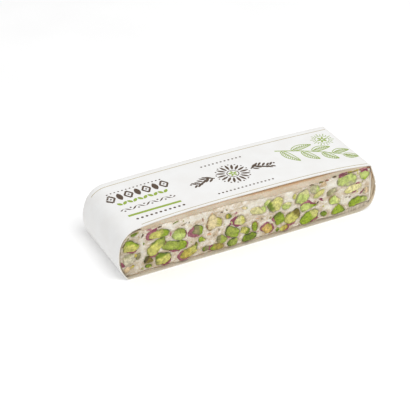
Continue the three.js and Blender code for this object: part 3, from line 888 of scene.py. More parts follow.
NUTS = [Nut(*row) for row in (
    (-65.1, 16.9, 8.4, 6.4, -8, "prism", "lime", "grass", 72, "green", ((222, 318, 0.9),)),
    (-63.2, 23.8, 4.8, 2.6, 24, "oval", "moss", "lime", 20, "none"),
    (-66.2, 10.4, 6.4, 5.6, 10, "block", "cloud", "sage", 110, "none"),
    (-66.6, 5.1, 5.8, 2.4, 18, "wedge", "sand", "mustard", 0, "brown"),
    (-63.4, 11.6, 2.4, 2.6, 60, "oval", "mustard", "shade", 200, "none"),
    (-61.7, 10.6, 4.0, 2.5, 74, "oval", "shade", "shade", 200, "dark"),
    (-56.4, 3.4, 3.8, 2.3, -15, "oval", "moss", "lime", 270),
    (-56.2, 6.8, 5.2, 4.0, -35, "wedge", "olive", "umber", 150),
    (-52.3, 13.2, 11.4, 6.0, 33, "slab", "lime", "fern", 70, "green",
     ((226, 286, 1.0), (-4, 16, 0.4)), ((-62, 0.16, 22),)),
    (-50.7, 19.9, 11.4, 4.4, -3, "slab", "lime", "grass", 0, "green",
     ((120, 208, 1.4),), ((86, 0.2, 14),)),
    (-48.8, 5.7, 8.0, 6.6, -5, "block", "lime", "moss", 110, "dark",
     ((256, 340, 1.1),), ((90, 0.1, 10), (-70, -0.08, 18))),
    (-42.3, 10.9, 13.6, 5.2, -14, "slab", "fern", "grass", 350, "green",
     ((208, 306, 1.0), (-26, 4, 0.7)), ((72, 0.14, 20),)),
    (-39.9, 16.5, 7.2, 6.6, -30, "round", "leaf", "fern", 60, "green", ((-45, 30, 0.5),)),
    (-35.0, 4.7, 10.0, 5.0, 12, "slab", "mustard", "lime", 30, "green",
     ((150, 262, 1.2),), ((60, 0.12, 16),)),
    (-30.9, 8.0, 1.6, 3.2, 8, "oval", "moss", "olive", 90),
    (-30.3, 16.0, 5.8, 5.2, -24, "block", "shade", "grass", 350, "dark", ((132, 286, 2.0),)),
    (-27.7, 9.8, 4.2, 2.7, -25, "wedge", "grass", "lime", 0),
    (-25.8, 4.0, 3.8, 2.9, 20, "oval", "shade", "moss", 180, "dark"),
    (-21.0, 17.5, 9.0, 7.6, -16, "heart", "cream", "lime", 8, "brown", (), ((-62, 0.16, 24),)),
    (-19.8, 3.2, 8.0, 4.0, -3, "oval", "rusty", "grass", 200, "brown", ((140, 204, 0.7),)),
    (-17.2, 6.8, 5.8, 4.6, -25, "round", "fern", "shade", 180, "dark"),
    (-13.2, 18.7, 3.4, 2.8, -25, "wedge", "moss", "mustard", 180),
    (-11.1, 3.2, 5.8, 5.0, 10, "round", "fern", "moss", 180, "dark"),
    (-11.2, 9.1, 8.8, 5.4, -28, "block", "fern", "grass", 300, "dark",
     ((205, 240, 0.6),), ((200, 0.22, 24),)),
    (-6.9, 14.4, 6.4, 5.4, -38, "egg", "pale", "lime", 0, "grey"),
    (-3.9, 7.8, 5.6, 3.8, -28, "slab", "lime", "moss", 330, "green", (), ((70, 0.2, 18),)),
    (-1.4, 3.4, 8.4, 4.0, 4, "slab", "moss", "grass", 90, "dark", ((215, 250, 0.5),)),
    (1.4, 8.7, 5.8, 3.5, 96, "oval", "grass", "rust", 20, "brown"),
    (2.2, 17.4, 8.6, 3.9, -20, "oval", "pale", "cream", 90, "none"),
    (6.0, 16.9, 3.6, 3.2, 80, "round", "leaf", "leaf", 100, "none"),
    (-4.4, 20.9, 3.4, 1.8, -20, "oval", "cream", "leaf", 0, "none"),
    (8.2, 20.0, 4.2, 2.4, 40, "oval", "leaf", "pale", 0, "none"),
    (8.3, 5.6, 6.2, 5.2, -50, "slab", "ochre", "mustard", 20, "none", ((66, 212, 0.9), (-68, 44, 1.0))),
    (13.0, 17.9, 9.2, 8.0, 34, "egg", "lemon", "moss", 195, "grey"),
    (14.3, 2.9, 2.6, 2.0, 80, "oval", "moss", "grass", 90),
    (15.1, 9.2, 6.8, 5.6, 112, "block", "grass", "moss", 120, "green", ((160, 196, 1.2),)),
    (17.8, 2.9, 5.0, 2.8, 20, "slab", "mustard", "lime", 180, "none", ((-84, 20, 0.9),)),
    (19.2, 15.3, 5.2, 4.2, 10, "round", "leaf", "pale", 90, "none"),
    (22.9, 7.9, 9.2, 6.2, 24, "slab", "lime", "olive", 40, "dark", ((222, 300, 1.0),)),
    (23.4, 19.4, 3.2, 2.0, 88, "oval", "lime", "pale", 0, "none"),
    (28.4, 17.9, 9.0, 7.2, 48, "egg", "leaf", "pale", 60, "grey"),
    (31.7, 11.6, 9.8, 4.4, -4, "wedge", "leaf", "grass", 350, "green", ((8, 160, 1.1),)),
    (32.6, 4.9, 11.2, 6.2, 26, "slab", "grass", "lemon", 30, "green", ((282, 352, 0.9),)),
    (35.2, 20.2, 5.8, 4.4, -18, "round", "sage", "leaf", 0, "none"),
    (37.9, 16.7, 7.0, 3.2, 22, "oval", "lemon", "leaf", 270, "none"),
    (41.0, 4.4, 4.2, 3.0, -25, "oval", "moss", "grass", 0, "dark"),
    (45.2, 15.9, 6.0, 3.6, 28, "oval", "sage", "shade", 200, "grey"),
    (47.3, 10.4, 7.6, 4.4, -28, "egg", "leaf", "pale", 20, "brown"),
    (49.3, 3.2, 8.0, 8.2, -4, "cap", "grass", "moss", 320, "brown"),
    (53.8, 20.5, 12.4, 7.2, -8, "oval", "leaf", "sage", 280, "grey", ((84, 150, 1.6),)),
    (57.8, 14.6, 10.4, 4.4, 12, "oval", "butter", "lemon", 250, "none", ((262, 318, 0.9), (30, 58, 0.9))),
    (61.0, 5.7, 11.2, 6.0, 6, "dome", "grass", "leaf", 350, "green"),
    (64.4, 20.6, 6.0, 4.8, -50, "slab", "leaf", "grass", 300, "none", ((50, 134, 1.5),)),
    (65.4, 11.4, 3.6, 3.4, 70, "round", "sand", "sage", 180, "none"),
)]

# Scraps of skin and crumbs on the face: distance along the bar, height, length, width, tilt, colour.
Scrap = namedtuple("Scrap", "x z length width tilt tone")

SCRAPS = [Scrap(*row) for row in (
    (-44.5, 18.2, 3.8, 1.0, 84, "rose"), (-70.1, 8.0, 3.4, 2.4, -50, "plum"),
    (-10.5, 15.5, 6.6, 3.0, 42, "plum"), (-9.5, 13.1, 7.4, 2.4, -26, "plum"),
    (-53.2, 22.7, 4.4, 1.5, 18, "plum"), (-55.4, 23.8, 3.2, 1.7, -30, "rose"),
    (-37.6, 9.9, 1.0, 2.6, 10, "plum"), (-9.3, 19.6, 1.6, 1.0, 25, "rose"),
    (39.0, 13.4, 3.0, 1.5, -35, "plum"), (62.9, 11.2, 3.8, 1.1, 42, "plum"),
    (-59.2, 21.6, 2.2, 1.0, 60, "umber"), (-58.8, 17.0, 1.4, 0.9, 80, "moss"),
    (-50.2, 23.7, 2.0, 0.9, 10, "umber"), (-68.2, 13.8, 4.6, 0.4, -2, "cloud"),
    (-42.0, 24.0, 3.6, 0.6, 12, "moss"), (-37.4, 21.6, 3.4, 0.5, 22, "drab"),
    (-34.8, 21.8, 1.2, 0.5, 70, "umber"), (-17.0, 22.2, 1.6, 0.8, -20, "umber"),
    (-14.4, 22.7, 1.3, 0.6, -30, "olive"), (-18.6, 13.0, 1.2, 2.0, 20, "drab"),
    (-23.9, 11.8, 2.4, 1.7, -15, "tan"), (-21.4, 10.6, 1.2, 0.6, 30, "drab"),
    (-5.6, 12.0, 1.4, 0.6, 10, "drab"), (2.6, 12.9, 1.6, 0.7, -20, "tan"),
    (5.2, 12.2, 2.0, 1.1, -35, "drab"), (3.4, 5.0, 1.0, 0.7, 0, "rose"),
    (-4.2, 1.9, 1.3, 0.7, 0, "umber"), (-1.4, 1.8, 2.6, 0.6, 12, "tan"), (7.6, 3.0, 1.4, 0.5, 0, "tan"),
    (26.0, 12.4, 2.6, 0.5, -62, "cloud"), (37.2, 12.2, 1.5, 1.0, 60, "umber"),
    (36.6, 2.6, 4.6, 1.2, 12, "rust"), (40.6, 9.0, 1.1, 0.8, 0, "lime"),
    (48.0, 15.4, 2.2, 0.5, -8, "drab"), (27.0, 1.9, 1.6, 0.7, -60, "drab"),
    (33.3, 23.2, 2.8, 0.6, 0, "umber"), (38.6, 23.3, 2.4, 0.6, 4, "olive"),
    (42.2, 23.4, 2.2, 0.4, -4, "rust"), (57.0, 24.1, 4.0, 0.6, 3, "olive"),
    (62.6, 24.0, 3.2, 0.7, -3, "rust"), (54.2, 10.2, 1.6, 0.8, -10, "drab"),
    (56.4, 9.7, 1.7, 1.0, 6, "drab"), (60.4, 11.9, 1.6, 1.2, 50, "lemon"),
    (60.2, 22.6, 0.9, 2.2, 10, "lemon"), (40.2, 21.6, 4.0, 3.4, 10, "sand"),
    (-22.6, 23.0, 1.6, 0.7, 0, "tan"), (51.1, 24.7, 4.8, 0.8, 4, "plum"),
    (46.4, 24.4, 2.4, 0.7, 0, "umber"), (55.6, 24.6, 3.2, 0.7, -4, "mustard"),
    (59.4, 24.4, 3.6, 0.8, -2, "mustard"), (63.2, 24.3, 4.6, 0.9, -3, "rose"),
    (66.5, 24.2, 2.2, 1.0, -20, "rust"), (-69.0, 19.0, 2.8, 0.7, 58, "umber"),
    (-66.9, 21.9, 1.8, 0.7, 50, "moss"),
)]

TONES = {name: np.array(hue(*colour)) for name, colour in {
    "lime": (186, 183, 94), "lemon": (200, 196, 118), "grass": (136, 158, 30), "moss": (106, 124, 26),
    "fern": (142, 154, 62), "leaf": (174, 188, 104), "olive": (116, 104, 30), "pale": (200, 196, 136),
    "rusty": (158, 144, 62), "butter": (218, 212, 150), "mustard": (172, 158, 66), "ochre": (190, 162, 88),
    "sage": (168, 164, 126), "shade": (134, 128, 86), "cream": (208, 192, 146), "sand": (200, 176, 138),
    "cloud": (192, 185, 158), "plum": (128, 58, 78), "rose": (176, 116, 122), "rust": (150, 96, 66),
    "umber": (86, 70, 38), "drab": (150, 138, 112), "tan": (200, 160, 122),
}.items()}
RIMS = {name: np.array(hue(*colour)) for name, colour in {
    "green": (92, 104, 42), "dark": (76, 84, 50), "grey": (136, 126, 108), "brown": (134, 100, 62),
}.items()}

# A form: how square its outline is, how far it narrows to one end, how low its lower side is cut as a
# share of its half width, how deep a notch its upper side has, and how ragged its outline is.
Form = namedtuple("Form", "power taper flat notch ragged")
FORMS = {
    "oval": Form(2.0, 0.0, 1.0, 0.0, 0.5), "round": Form(2.2, 0.05, 1.0, 0.0, 0.9),
    "egg": Form(2.1, 0.2, 1.0, 0.0, 0.9), "slab": Form(3.0, 0.0, 1.0, 0.0, 1.0),
    "block": Form(4.2, 0.12, 1.0, 0.0, 1.0), "wedge": Form(2.5, 0.5, 1.0, 0.0, 1.0),
    "prism": Form(3.0, 0.5, 0.8, 0.0, 0.7), "dome": Form(2.2, 0.1, 0.5, 0.0, 1.0),
    "cap": Form(1.75, 0.05, 0.26, 0.0, 1.0), "heart": Form(2.5, 0.35, 1.0, 0.26, 1.0),
}
NOTCH_AT, NOTCH_SPREAD = 1.35, 0.33  # direction of a notch and half its opening, in radians
RAGGED = ((2, 0.03), (3, 0.045), (5, 0.035), (8, 0.022), (13, 0.018), (19, 0.013))
PROUD = 0.45  # how far a large kernel stands out of the cut face
PROUD_WIDTH = 4.0  # a narrower kernel stands out less
KERNEL_TURNS = 60
SCRAP_TURNS = 18
EDGE_REACH = 1.1  # how far up the wafer's edge a crumb may lie
ROOM_LEFT, ROOM_RIGHT, ROOM_BELOW, ROOM_ABOVE = 0.25, 0.3, 0.15, 0.12  # kept free round the cut face

# Steps from a kernel's middle over its rim and down its side: share of the outline, and depth in mm.
KERNEL_STEPS = (
    (0.12, 0.0), (0.24, 0.0), (0.36, 0.0), (0.48, 0.0), (0.59, 0.02), (0.69, 0.04), (0.78, 0.07),
    (0.86, 0.12), (0.92, 0.19), (0.97, 0.3), (1.0, 0.5), (1.01, 0.85), (0.97, 1.4), (0.8, 2.0), (0.45, 2.3),
)
KERNEL_FRONT, KERNEL_BACK = (0.001, 0.0), (0.001, 2.4)
# Corners of a strip of skin across its run: share of its width outwards, and depth in mm.
SKIN_CORNERS = ((-0.3, -0.45), (0.15, -0.55), (0.7, -0.36), (1.0, 0.0), (0.9, 0.5), (-0.3, 0.6))
# Steps from a crumb's middle outwards and down: share of its outline, and depth in mm.
SCRAP_STEPS = ((0.4, -0.22), (0.8, -0.16), (1.0, 0.05), (0.7, 0.4))


def outline(nut, turn):
    """Distance from a kernel's centre to its edge at each angle, in the kernel's own turned frame."""
    form = FORMS[nut.form]
    along, up = np.cos(turn), np.sin(turn)
    width = nut.width * (1 - form.taper * along)
    radius = (np.abs(along * 2 / nut.length) ** form.power + np.abs(up * 2 / width) ** form.power)
    radius = radius ** (-1 / form.power)
    flat = form.flat * nut.width / 2 / np.maximum(1e-6, -up)
    radius = np.where((up < 0) & (form.flat < 1), np.minimum(radius, flat), radius)
    from_notch = ((turn % (2 * math.pi)) - NOTCH_AT) / NOTCH_SPREAD
    radius = radius * (1 - form.notch * np.exp(-from_notch ** 2))
    for direction, depth, spread in nut.dents:
        away = (np.degrees(turn) - direction + 180) % 360 - 180
        radius = radius * (1 - depth * np.exp(-((away / spread) ** 2)))
    phase = nut.x * 1.7 + nut.z * 2.9
    return radius * (1 + form.ragged * sum(size * np.cos(k * turn + phase * k * 0.7) for k, size in RAGGED))


def keep_inside(x, z, above=0.0):
    """Pulls a place on the face back within the bar's outline, or to a height above it."""
    z = np.clip(z, bar_floor(x) + ROOM_BELOW, bar_top(x, 0) - ROOM_ABOVE + above)
    right = np.minimum(BAR_RIGHT, end_wall(1, z, 0)) - ROOM_RIGHT
    return np.clip(x, end_wall(-1, z, 0) + ROOM_LEFT, right), z


def turned(a, b, degrees):
    """A place on the face turned about the origin."""
    c, s = math.cos(math.radians(degrees)), math.sin(math.radians(degrees))
    return a * c - b * s, a * s + b * c


def beyond(nut, x, z):
    """How far places lie outside a kernel's edge, negative inside it."""
    a, b = turned(x - nut.x, z - nut.z, -nut.tilt)
    return np.hypot(a, b) - outline(nut, np.arctan2(b, a))


class Heap:
    """Points, faces and colours of many small closed shapes that become one piece."""

    def __init__(self):
        self.points = []
        self.faces = []
        self.tints = []

    def shell(self, rings, tints, front, back, clockwise=False):
        """
        A closed shape from rings of points and a point at each end. The rings turn anticlockwise, seen
        from the front one, or clockwise.
        """
        count = len(rings[0])
        first = len(self.points)
        self.points += [front[0], *np.concatenate(rings), back[0]]
        self.tints += [front[1], *np.concatenate(tints), back[1]]
        last = len(self.points) - 1
        numbers = [range(a, a + count) for a in range(first + 1, last, count)]
        faces = []
        for here, there in zip(numbers, numbers[1:]):
            faces += band(here, there)
        for tip, ring in ((first, numbers[0]), (last, numbers[-1][::-1])):
            faces += [(tip, a, b) for a, b in zip(ring, [*ring[1:], ring[0]])]
        self.faces += inside_out(faces) if clockwise else faces

    def make(self, name, material, smooth):
        piece = solid(name, self.points, self.faces, [material], smooth, marks={"tint": self.tints})
        belongs(piece, "nougat")


def kernel_tint(nut, x, z, share, patchy):
    """A kernel's colours at places on it: two tones, mottling, and its rim where share is near 1."""
    tone, other = TONES[nut.tone], TONES[nut.other]
    rim, strength = (RIMS[nut.rim], 0.9) if nut.rim in RIMS else (tone * 0.78, 0.5)
    way = turned(x - nut.x, z - nut.z, -nut.lean)[0] / (min(nut.length, 2 * nut.width) / 2)
    part = smoothstep(way + 0.45 * ripple(x, z, 2.2, nut.z + 9), 0.1, 0.6)[:, None]
    mottle = 0.5 * ripple(x, z, 1.7, nut.x + 4) + 0.4 * ripple(x, z, 0.8, nut.x + 8)
    tint = (tone * (1 - part) + other * part) * (1.14 - 0.2 * share ** 3 + mottle)[:, None]
    edge = strength * (smoothstep(share + 0.22 * ripple(x, z, 2.0, 7), 0.84, 1.0) * patchy)[:, None]
    tint = tint * (1 - edge) + rim * edge
    tint[:, 3] = 1.0
    return np.clip(tint, 0, 1)


def build_kernel(heap, nut):
    turn = np.linspace(0, 2 * math.pi, KERNEL_TURNS, endpoint=False)
    radius = outline(nut, turn)
    round_x, round_z = np.cos(turn + math.radians(nut.tilt)), np.sin(turn + math.radians(nut.tilt))
    proud = PROUD * min(1.0, nut.width / PROUD_WIDTH)
    slope = 0.03 * np.array([math.sin(nut.x * 5.1), math.sin(nut.z * 7.3)])
    patchy = 0.35 + 0.65 * smoothstep(ripple(np.cos(turn), np.sin(turn), 0.9, nut.x + nut.z), -0.35, 0.15)

    def spot(share, depth):
        x, z = keep_inside(nut.x + share * radius * round_x, nut.z + share * radius * round_z)
        facet = 0.14 * ripple(x, z, 1.9, nut.x) + 0.07 * ripple(x, z, 0.7, nut.z)
        lift = slope[0] * (x - nut.x) + slope[1] * (z - nut.z)
        y = cut_face(x, z) - proud + depth + (facet + lift) * (1 if depth < 0.5 else 0.3)
        return xyz(x, y, z), kernel_tint(nut, x, z, share, patchy)

    rings, tints = zip(*(spot(*step) for step in KERNEL_STEPS))
    front, back = ([values[0] for values in spot(*tip)] for tip in (KERNEL_FRONT, KERNEL_BACK))
    heap.shell(rings, tints, front, back)


def build_skin(heap, nut, start, end, width):
    """A ragged strip of purple skin round part of a kernel, curling a little out of the face."""
    t = np.linspace(0, 1, max(8, int(abs(end - start) / 4)) + 1)
    turn = np.radians(start + (end - start) * t)
    radius = outline(nut, turn - math.radians(nut.tilt))
    wide = width * (0.12 + 0.88 * np.sin(math.pi * np.clip(t, 0.02, 0.98)) ** 0.8)
    wide *= 1 + 0.35 * ripple(radius * turn, turn * 0 + nut.z, 0.9, nut.x)
    across, depth = np.array(SKIN_CORNERS).T
    reach = radius[:, None] + wide[:, None] * across
    x, z = keep_inside(nut.x + reach * np.cos(turn)[:, None], nut.z + reach * np.sin(turn)[:, None])
    y = cut_face(x, z) + depth * min(1.0, 0.5 + width * 0.5)
    fade = 0.8 * np.clip(0.45 + 0.9 * ripple(x, z, 1 / 0.9, nut.z), 0, 1)[:, :, None]
    rings, tints = np.stack([x, y, z], 2), TONES["plum"] * (1 - fade) + TONES["rose"] * fade
    front, back = ((rings[k].mean(0), tints[k][0]) for k in (0, -1))
    heap.shell(rings, tints, front, back, clockwise=True)


def build_scrap(heap, scrap):
    """A small flat crumb lying in the face, or on the wafer's edge above it."""
    above = EDGE_REACH if scrap.z > bar_top(scrap.x, 0) else 0.0
    turn = np.linspace(0, 2 * math.pi, SCRAP_TURNS, endpoint=False)
    uneven = 1 + 0.2 * np.cos(3 * turn + scrap.x) + 0.14 * np.cos(5 * turn + scrap.z) + 0.1 * np.cos(8 * turn)
    a, b = scrap.length / 2 * np.cos(turn) * uneven, scrap.width / 2 * np.sin(turn) * uneven
    a, b = turned(a, b, scrap.tilt)
    tint = TONES[scrap.tone] * (1 + 0.2 * np.cos(turn * 2 + scrap.z))[:, None]
    rings = []
    for share, depth in SCRAP_STEPS:
        x, z = keep_inside(scrap.x + share * a, scrap.z + share * b, above)
        rings.append(xyz(x, cut_face(x, z) + depth, z))
    middle = rings[0].mean(0) - (0, 0.02, 0)
    heap.shell(rings, [tint] * len(rings), (middle, tint[0]), (middle + (0, 0.9, 0), tint[0]))


def build_pistachios():
    kernels, skins = Heap(), Heap()
    for nut in NUTS:
        build_kernel(kernels, nut)
        for strip in nut.skins:
            build_skin(skins, nut, *strip)
    for scrap in SCRAPS:
        build_scrap(skins, scrap)
    kernels.make("pistachio_kernels", PISTACHIO, 50)
    skins.make("purple_skins", SKIN, 60)


build_pistachios()


# ---- Nougat ----

# Whiter places on the face, partly whiter nougat and partly painted sheen of the clear film over it, such as
# the long upright streak at the left where it folds: distance along the bar, height, and half sizes.
WHITE_PATCHES = (
    (45.5, 20.6, 3.6, 3.0), (20.6, 20.6, 2.6, 3.4), (3.0, 21.6, 6.0, 2.0), (-31.0, 22.6, 7.0, 1.6),
    (-2.0, 19.4, 4.0, 2.4), (-59.6, 16.5, 1.0, 7.5), (54.5, 8.5, 3.4, 2.4), (-44.0, 22.6, 4.0, 1.4),
    (42.6, 7.8, 2.6, 1.6), (-13.5, 15.6, 2.4, 1.6), (22.4, 12.6, 3.0, 1.4), (61.0, 18.0, 2.0, 1.2),
)
SKIRT_ROWS = (1.0, 1.7, 2.4, 3.1, 3.8, 4.5, 5.2, 9.0, 16.0, 26.0, 36.0, BAR_BACK)
FLAT_FROM = 5.2  # depth at which the cut's waves have faded out
# Painted shade: the face darkens towards its left end, and the bar's hidden sides and back are darker too.
PAINTED_SHADE_FROM, PAINTED_SHADE_TO = 52, 70  # distance left of the middle over which the face darkens
HIDDEN_PAINTED_SHADE = 0.6  # and how dark the bar is where it is hidden
CURL_STEPS = 6  # grid lines in a rounded edge


def lines(size, first, last, cell):
    """Grid lines along one side: close together in the rounded edges and even between them."""
    curl = 1 - np.cos(np.linspace(0, math.pi / 2, CURL_STEPS))
    middle = np.linspace(first, size - last, int((size - first - last) / cell) + 1)
    return np.concatenate([first * curl[:-1], middle, size - last * curl[:-1][::-1]])


def round_off(a, b, size_a, size_b, radius):
    """Maps the square corners of a rectangle on to quarter circles, and gives the distance to its outline."""
    da = np.maximum(0, radius - np.minimum(a, size_a - a)) / radius
    db = np.maximum(0, radius - np.minimum(b, size_b - b)) / radius
    na, nb = da * np.sqrt(1 - db ** 2 / 2), db * np.sqrt(1 - da ** 2 / 2)
    moved_a = a + np.where(a < size_a / 2, 1, -1) * (da - na) * radius
    moved_b = b + np.where(b < size_b / 2, 1, -1) * (db - nb) * radius
    straight = np.minimum(np.minimum(a, size_a - a), np.minimum(b, size_b - b))
    corner = radius * (1 - np.hypot(na, nb))
    return moved_a, moved_b, np.where((da > 0) & (db > 0), corner, straight)


def face_relief(x, z, clear):
    """Fine relief of the cut nougat, in mm behind the knife's cut."""
    soft = 0.16 * ripple(x, z, 4.2) + 0.13 * ripple(x, z, 1.7, 3) + 0.08 * ripple(x, z, 0.8, 5)
    torn = -0.3 * np.maximum(0, ripple(x * 0.6, z, 2.6, 8) - 0.12)
    crumbs = 0.16 * np.abs(ripple(x, z, 0.55, 11)) * smoothstep(ripple(x, z, 7, 12), -0.1, 0.3)
    groove = 0.24 * np.exp(-((clear - 0.25) / 0.2) ** 2)
    swell = -0.1 * np.exp(-((clear - 1.0) / 0.5) ** 2)
    under = 0.9 * (1 - smoothstep(clear, -0.9, -0.1))
    return soft + torn + crumbs + groove + swell + under


def level(along, share, y):
    """The height at a share of the way from the bar's floor to its top."""
    low = bar_floor(along) - REST
    return low + (bar_top(along, y) + REST - low) * share


def face_marks(x, z, clear, inside, hidden):
    """What the finish and the chopped bits need to know of each place, with values for hidden points."""
    white = sum(np.exp(-(((x - px) / pl) ** 4) - ((z - pz) / ph) ** 4) for px, pz, pl, ph in WHITE_PATCHES)
    marks = {
        # painted shade round each kernel, and the kernel showing through the thin nougat there
        "socket": (np.exp(-np.maximum(0, clear) / 0.5), 0.0),
        "white": (np.minimum(1, white), 0.0),
        # painted shade towards the left end, and on the hidden sides and back
        "dusk": (smoothstep(-x + 1.5 * ripple(x, z, 5, 2), PAINTED_SHADE_FROM, PAINTED_SHADE_TO), HIDDEN_PAINTED_SHADE),
        "room": (smoothstep(clear, 0.7, 1.2) * smoothstep(inside, 0.8, 1.6), 0.0),
    }
    return {
        name: np.concatenate([face.ravel(), np.full(hidden, rest)]) for name, (face, rest) in marks.items()
    }


def build_nougat():
    """The bar: a fine grid over the cut face, and rings from its rim to the back."""
    size_a, size_b = BAR_RIGHT - BAR_LEFT, BAR_HEIGHT
    along = lines(size_a, BAR_CORNER, BAR_EDGE, FACE_CELL)
    a, b = np.meshgrid(along, lines(size_b, BAR_EDGE, BAR_EDGE, FACE_CELL), indexing="ij")
    across, up = a.shape
    radius = np.where(a < size_a / 2, BAR_CORNER, BAR_EDGE)
    moved_a, moved_b, inside = round_off(a, b, size_a, size_b, radius)
    free, height = BAR_LEFT + moved_a, moved_b / size_b

    z = level(free, height, 0.0)
    x = press_in(free, z, 0.0)
    clear = np.min([beyond(nut, x, z) for nut in NUTS], axis=0)
    fade = smoothstep(inside, 0.0, 1.2)
    edge = BAR_EDGE - np.sqrt(np.maximum(0, BAR_EDGE ** 2 - np.maximum(0, BAR_EDGE - inside) ** 2))
    points = [xyz(x, cut_face(x, z) + face_relief(x, z, clear) * fade + edge, z)]
    faces = []
    for i in range(across - 1):
        faces += [(k, k + up, k + up + 1, k + 1) for k in range(i * up, (i + 1) * up - 1)]

    rim = rim_of(across, up)
    rim_free, rim_height = free.ravel()[rim], height.ravel()[rim]
    ring = rim
    total = across * up
    for depth in SKIRT_ROWS:
        rim_z = level(rim_free, rim_height, depth)
        rim_x = press_in(rim_free, rim_z, depth / CARTON_WIDTH)
        points.append(xyz(rim_x, depth + cut_face(rim_x, rim_z) * max(0.0, 1 - depth / FLAT_FROM), rim_z))
        following = range(total, total + len(rim))
        faces += band(ring, following)
        ring = following
        total += len(rim)
    faces.append(tuple(reversed(ring)))

    marks = face_marks(x, z, clear, inside, total - across * up)
    return solid("nougat_bar", np.concatenate(points), faces, [NOUGAT], 60, marks=marks)


nougat_bar = build_nougat()


# ---- Chopped bits in the nougat ----

BITS_DENSITY = 15000.0  # to the square metre
BIT_SMALLEST, BIT_LARGEST = 0.35, 0.95
BIT_THINNEST, BIT_THICKEST = (0.6, 0.45, 0.5), (1.3, 0.8, 0.9)  # its three sides, to its size
BIT_UNEVEN, BIT_LUMPS = 0.9, 1.3  # how far its shape wanders, and how many lumps that gives
BIT_TURN = (6.28, 6.28, 6.28)  # it may lie any way round, in radians
BIT_SEED, SIZE_SEED, TURN_SEED = 4, 9, 3


def bits_tree():
    """Scatters small uneven lumps over the faces that have room."""
    tree = bpy.data.node_groups.new("chopped_bits", "GeometryNodeTree")
    kinds = {
        "Geometry": "Geometry", "Density": "Float", "Smallest": "Float", "Largest": "Float",
        "Thinnest": "Vector", "Thickest": "Vector", "Uneven": "Float", "Seed": "Int", "Material": "Material",
    }
    tree.interface.new_socket("Geometry", in_out="OUTPUT", socket_type="NodeSocketGeometry")
    sockets = {
        name: tree.interface.new_socket(name, in_out="INPUT", socket_type="NodeSocket" + kind)
        for name, kind in kinds.items()
    }

    def node(kind, settings, inputs, output=0):
        made = tree.nodes.new(kind)
        for setting, value in settings.items():
            setattr(made, setting, value)
        for socket, value in inputs.items():
            if isinstance(value, bpy.types.NodeSocket):
                tree.links.new(value, made.inputs[socket])
            else:
                made.inputs[socket].default_value = value
        return made.outputs[output]

    def vector(operation, first, more):
        return node("ShaderNodeVectorMath", {"operation": operation}, {0: first, **more})

    def chance(kind, low, high, seed):
        first, output = (0, 0) if kind == "FLOAT_VECTOR" else (2, 1)
        inputs = {first: low, first + 1: high, "Seed": seed}
        return node("FunctionNodeRandomValue", {"data_type": kind}, inputs, output)

    given = tree.nodes.new("NodeGroupInput").outputs
    room = node("GeometryNodeInputNamedAttribute", {"data_type": "FLOAT"}, {"Name": "room"})
    dense = node("ShaderNodeMath", {"operation": "MULTIPLY"}, {0: room, 1: given["Density"]})
    where = {"Mesh": given["Geometry"], "Density": dense, "Seed": given["Seed"]}
    spread = node("GeometryNodeDistributePointsOnFaces", {}, where, "Points")
    ball = node("GeometryNodeMeshIcoSphere", {}, {"Radius": 1.0, "Subdivisions": 2}, "Mesh")
    wobble = node("ShaderNodeTexNoise", {}, {"Scale": BIT_LUMPS, "Detail": 1.0}, "Color")
    shift = vector("SUBTRACT", wobble, {1: (0.5, 0.5, 0.5)})
    push = vector("SCALE", shift, {"Scale": given["Uneven"]})
    lump = node("GeometryNodeSetPosition", {}, {"Geometry": ball, "Offset": push})
    sides = chance("FLOAT_VECTOR", given["Thinnest"], given["Thickest"], given["Seed"])
    size = chance("FLOAT", given["Smallest"], given["Largest"], SIZE_SEED)
    turn = chance("FLOAT_VECTOR", (0, 0, 0), BIT_TURN, TURN_SEED)
    scale = vector("SCALE", sides, {"Scale": size})
    each = {"Points": spread, "Instance": lump, "Rotation": turn, "Scale": scale}
    lumps = node("GeometryNodeInstanceOnPoints", {}, each)
    real = node("GeometryNodeRealizeInstances", {}, {"Geometry": lumps})
    dressed = node("GeometryNodeSetMaterial", {}, {"Geometry": real, "Material": given["Material"]})
    tree.links.new(dressed, tree.nodes.new("NodeGroupOutput").inputs["Geometry"])
    return tree, {name: socket.identifier for name, socket in sockets.items()}


def scatter_bits(host):
    tree, identifiers = bits_tree()
    modifier = host.modifiers.new("bits", "NODES")
    modifier.node_group = tree
    choices = {
        "Density": BITS_DENSITY, "Smallest": BIT_SMALLEST * MM, "Largest": BIT_LARGEST * MM,
        "Thinnest": BIT_THINNEST, "Thickest": BIT_THICKEST, "Uneven": BIT_UNEVEN,
        "Seed": BIT_SEED, "Material": CHOPPED,
    }
    for name, value in choices.items():
        modifier[identifiers[name]] = value
    bpy.context.view_layer.update()
    depsgraph = bpy.context.evaluated_depsgraph_get()
    mesh = bpy.data.meshes.new_from_object(host.evaluated_get(depsgraph))
    host.modifiers.remove(modifier)
    mesh.polygons.foreach_set("use_smooth", np.ones(len(mesh.polygons), dtype=bool))
    return link("chopped_bits", mesh)


belongs(scatter_bits(nougat_bar), "nougat")
belongs(nougat_bar, "nougat", "nougat")


# ---- Wafer sheets ----

WAFER_INSET = 0.3
WAFER_CORNER = 1.5
WAFER_TOP_LEFT, WAFER_BOTTOM_LEFT, WAFER_RIGHT = -59.5, -67.0, 66.6
WAFER_COLUMNS, FRONT_ROWS, BACK_ROWS = 300, 24, 28
FRONT_BAND = 6.0  # width behind the front edge that has the finer rows
WAFER_SKIN = 0.02  # clearance above and below each sheet


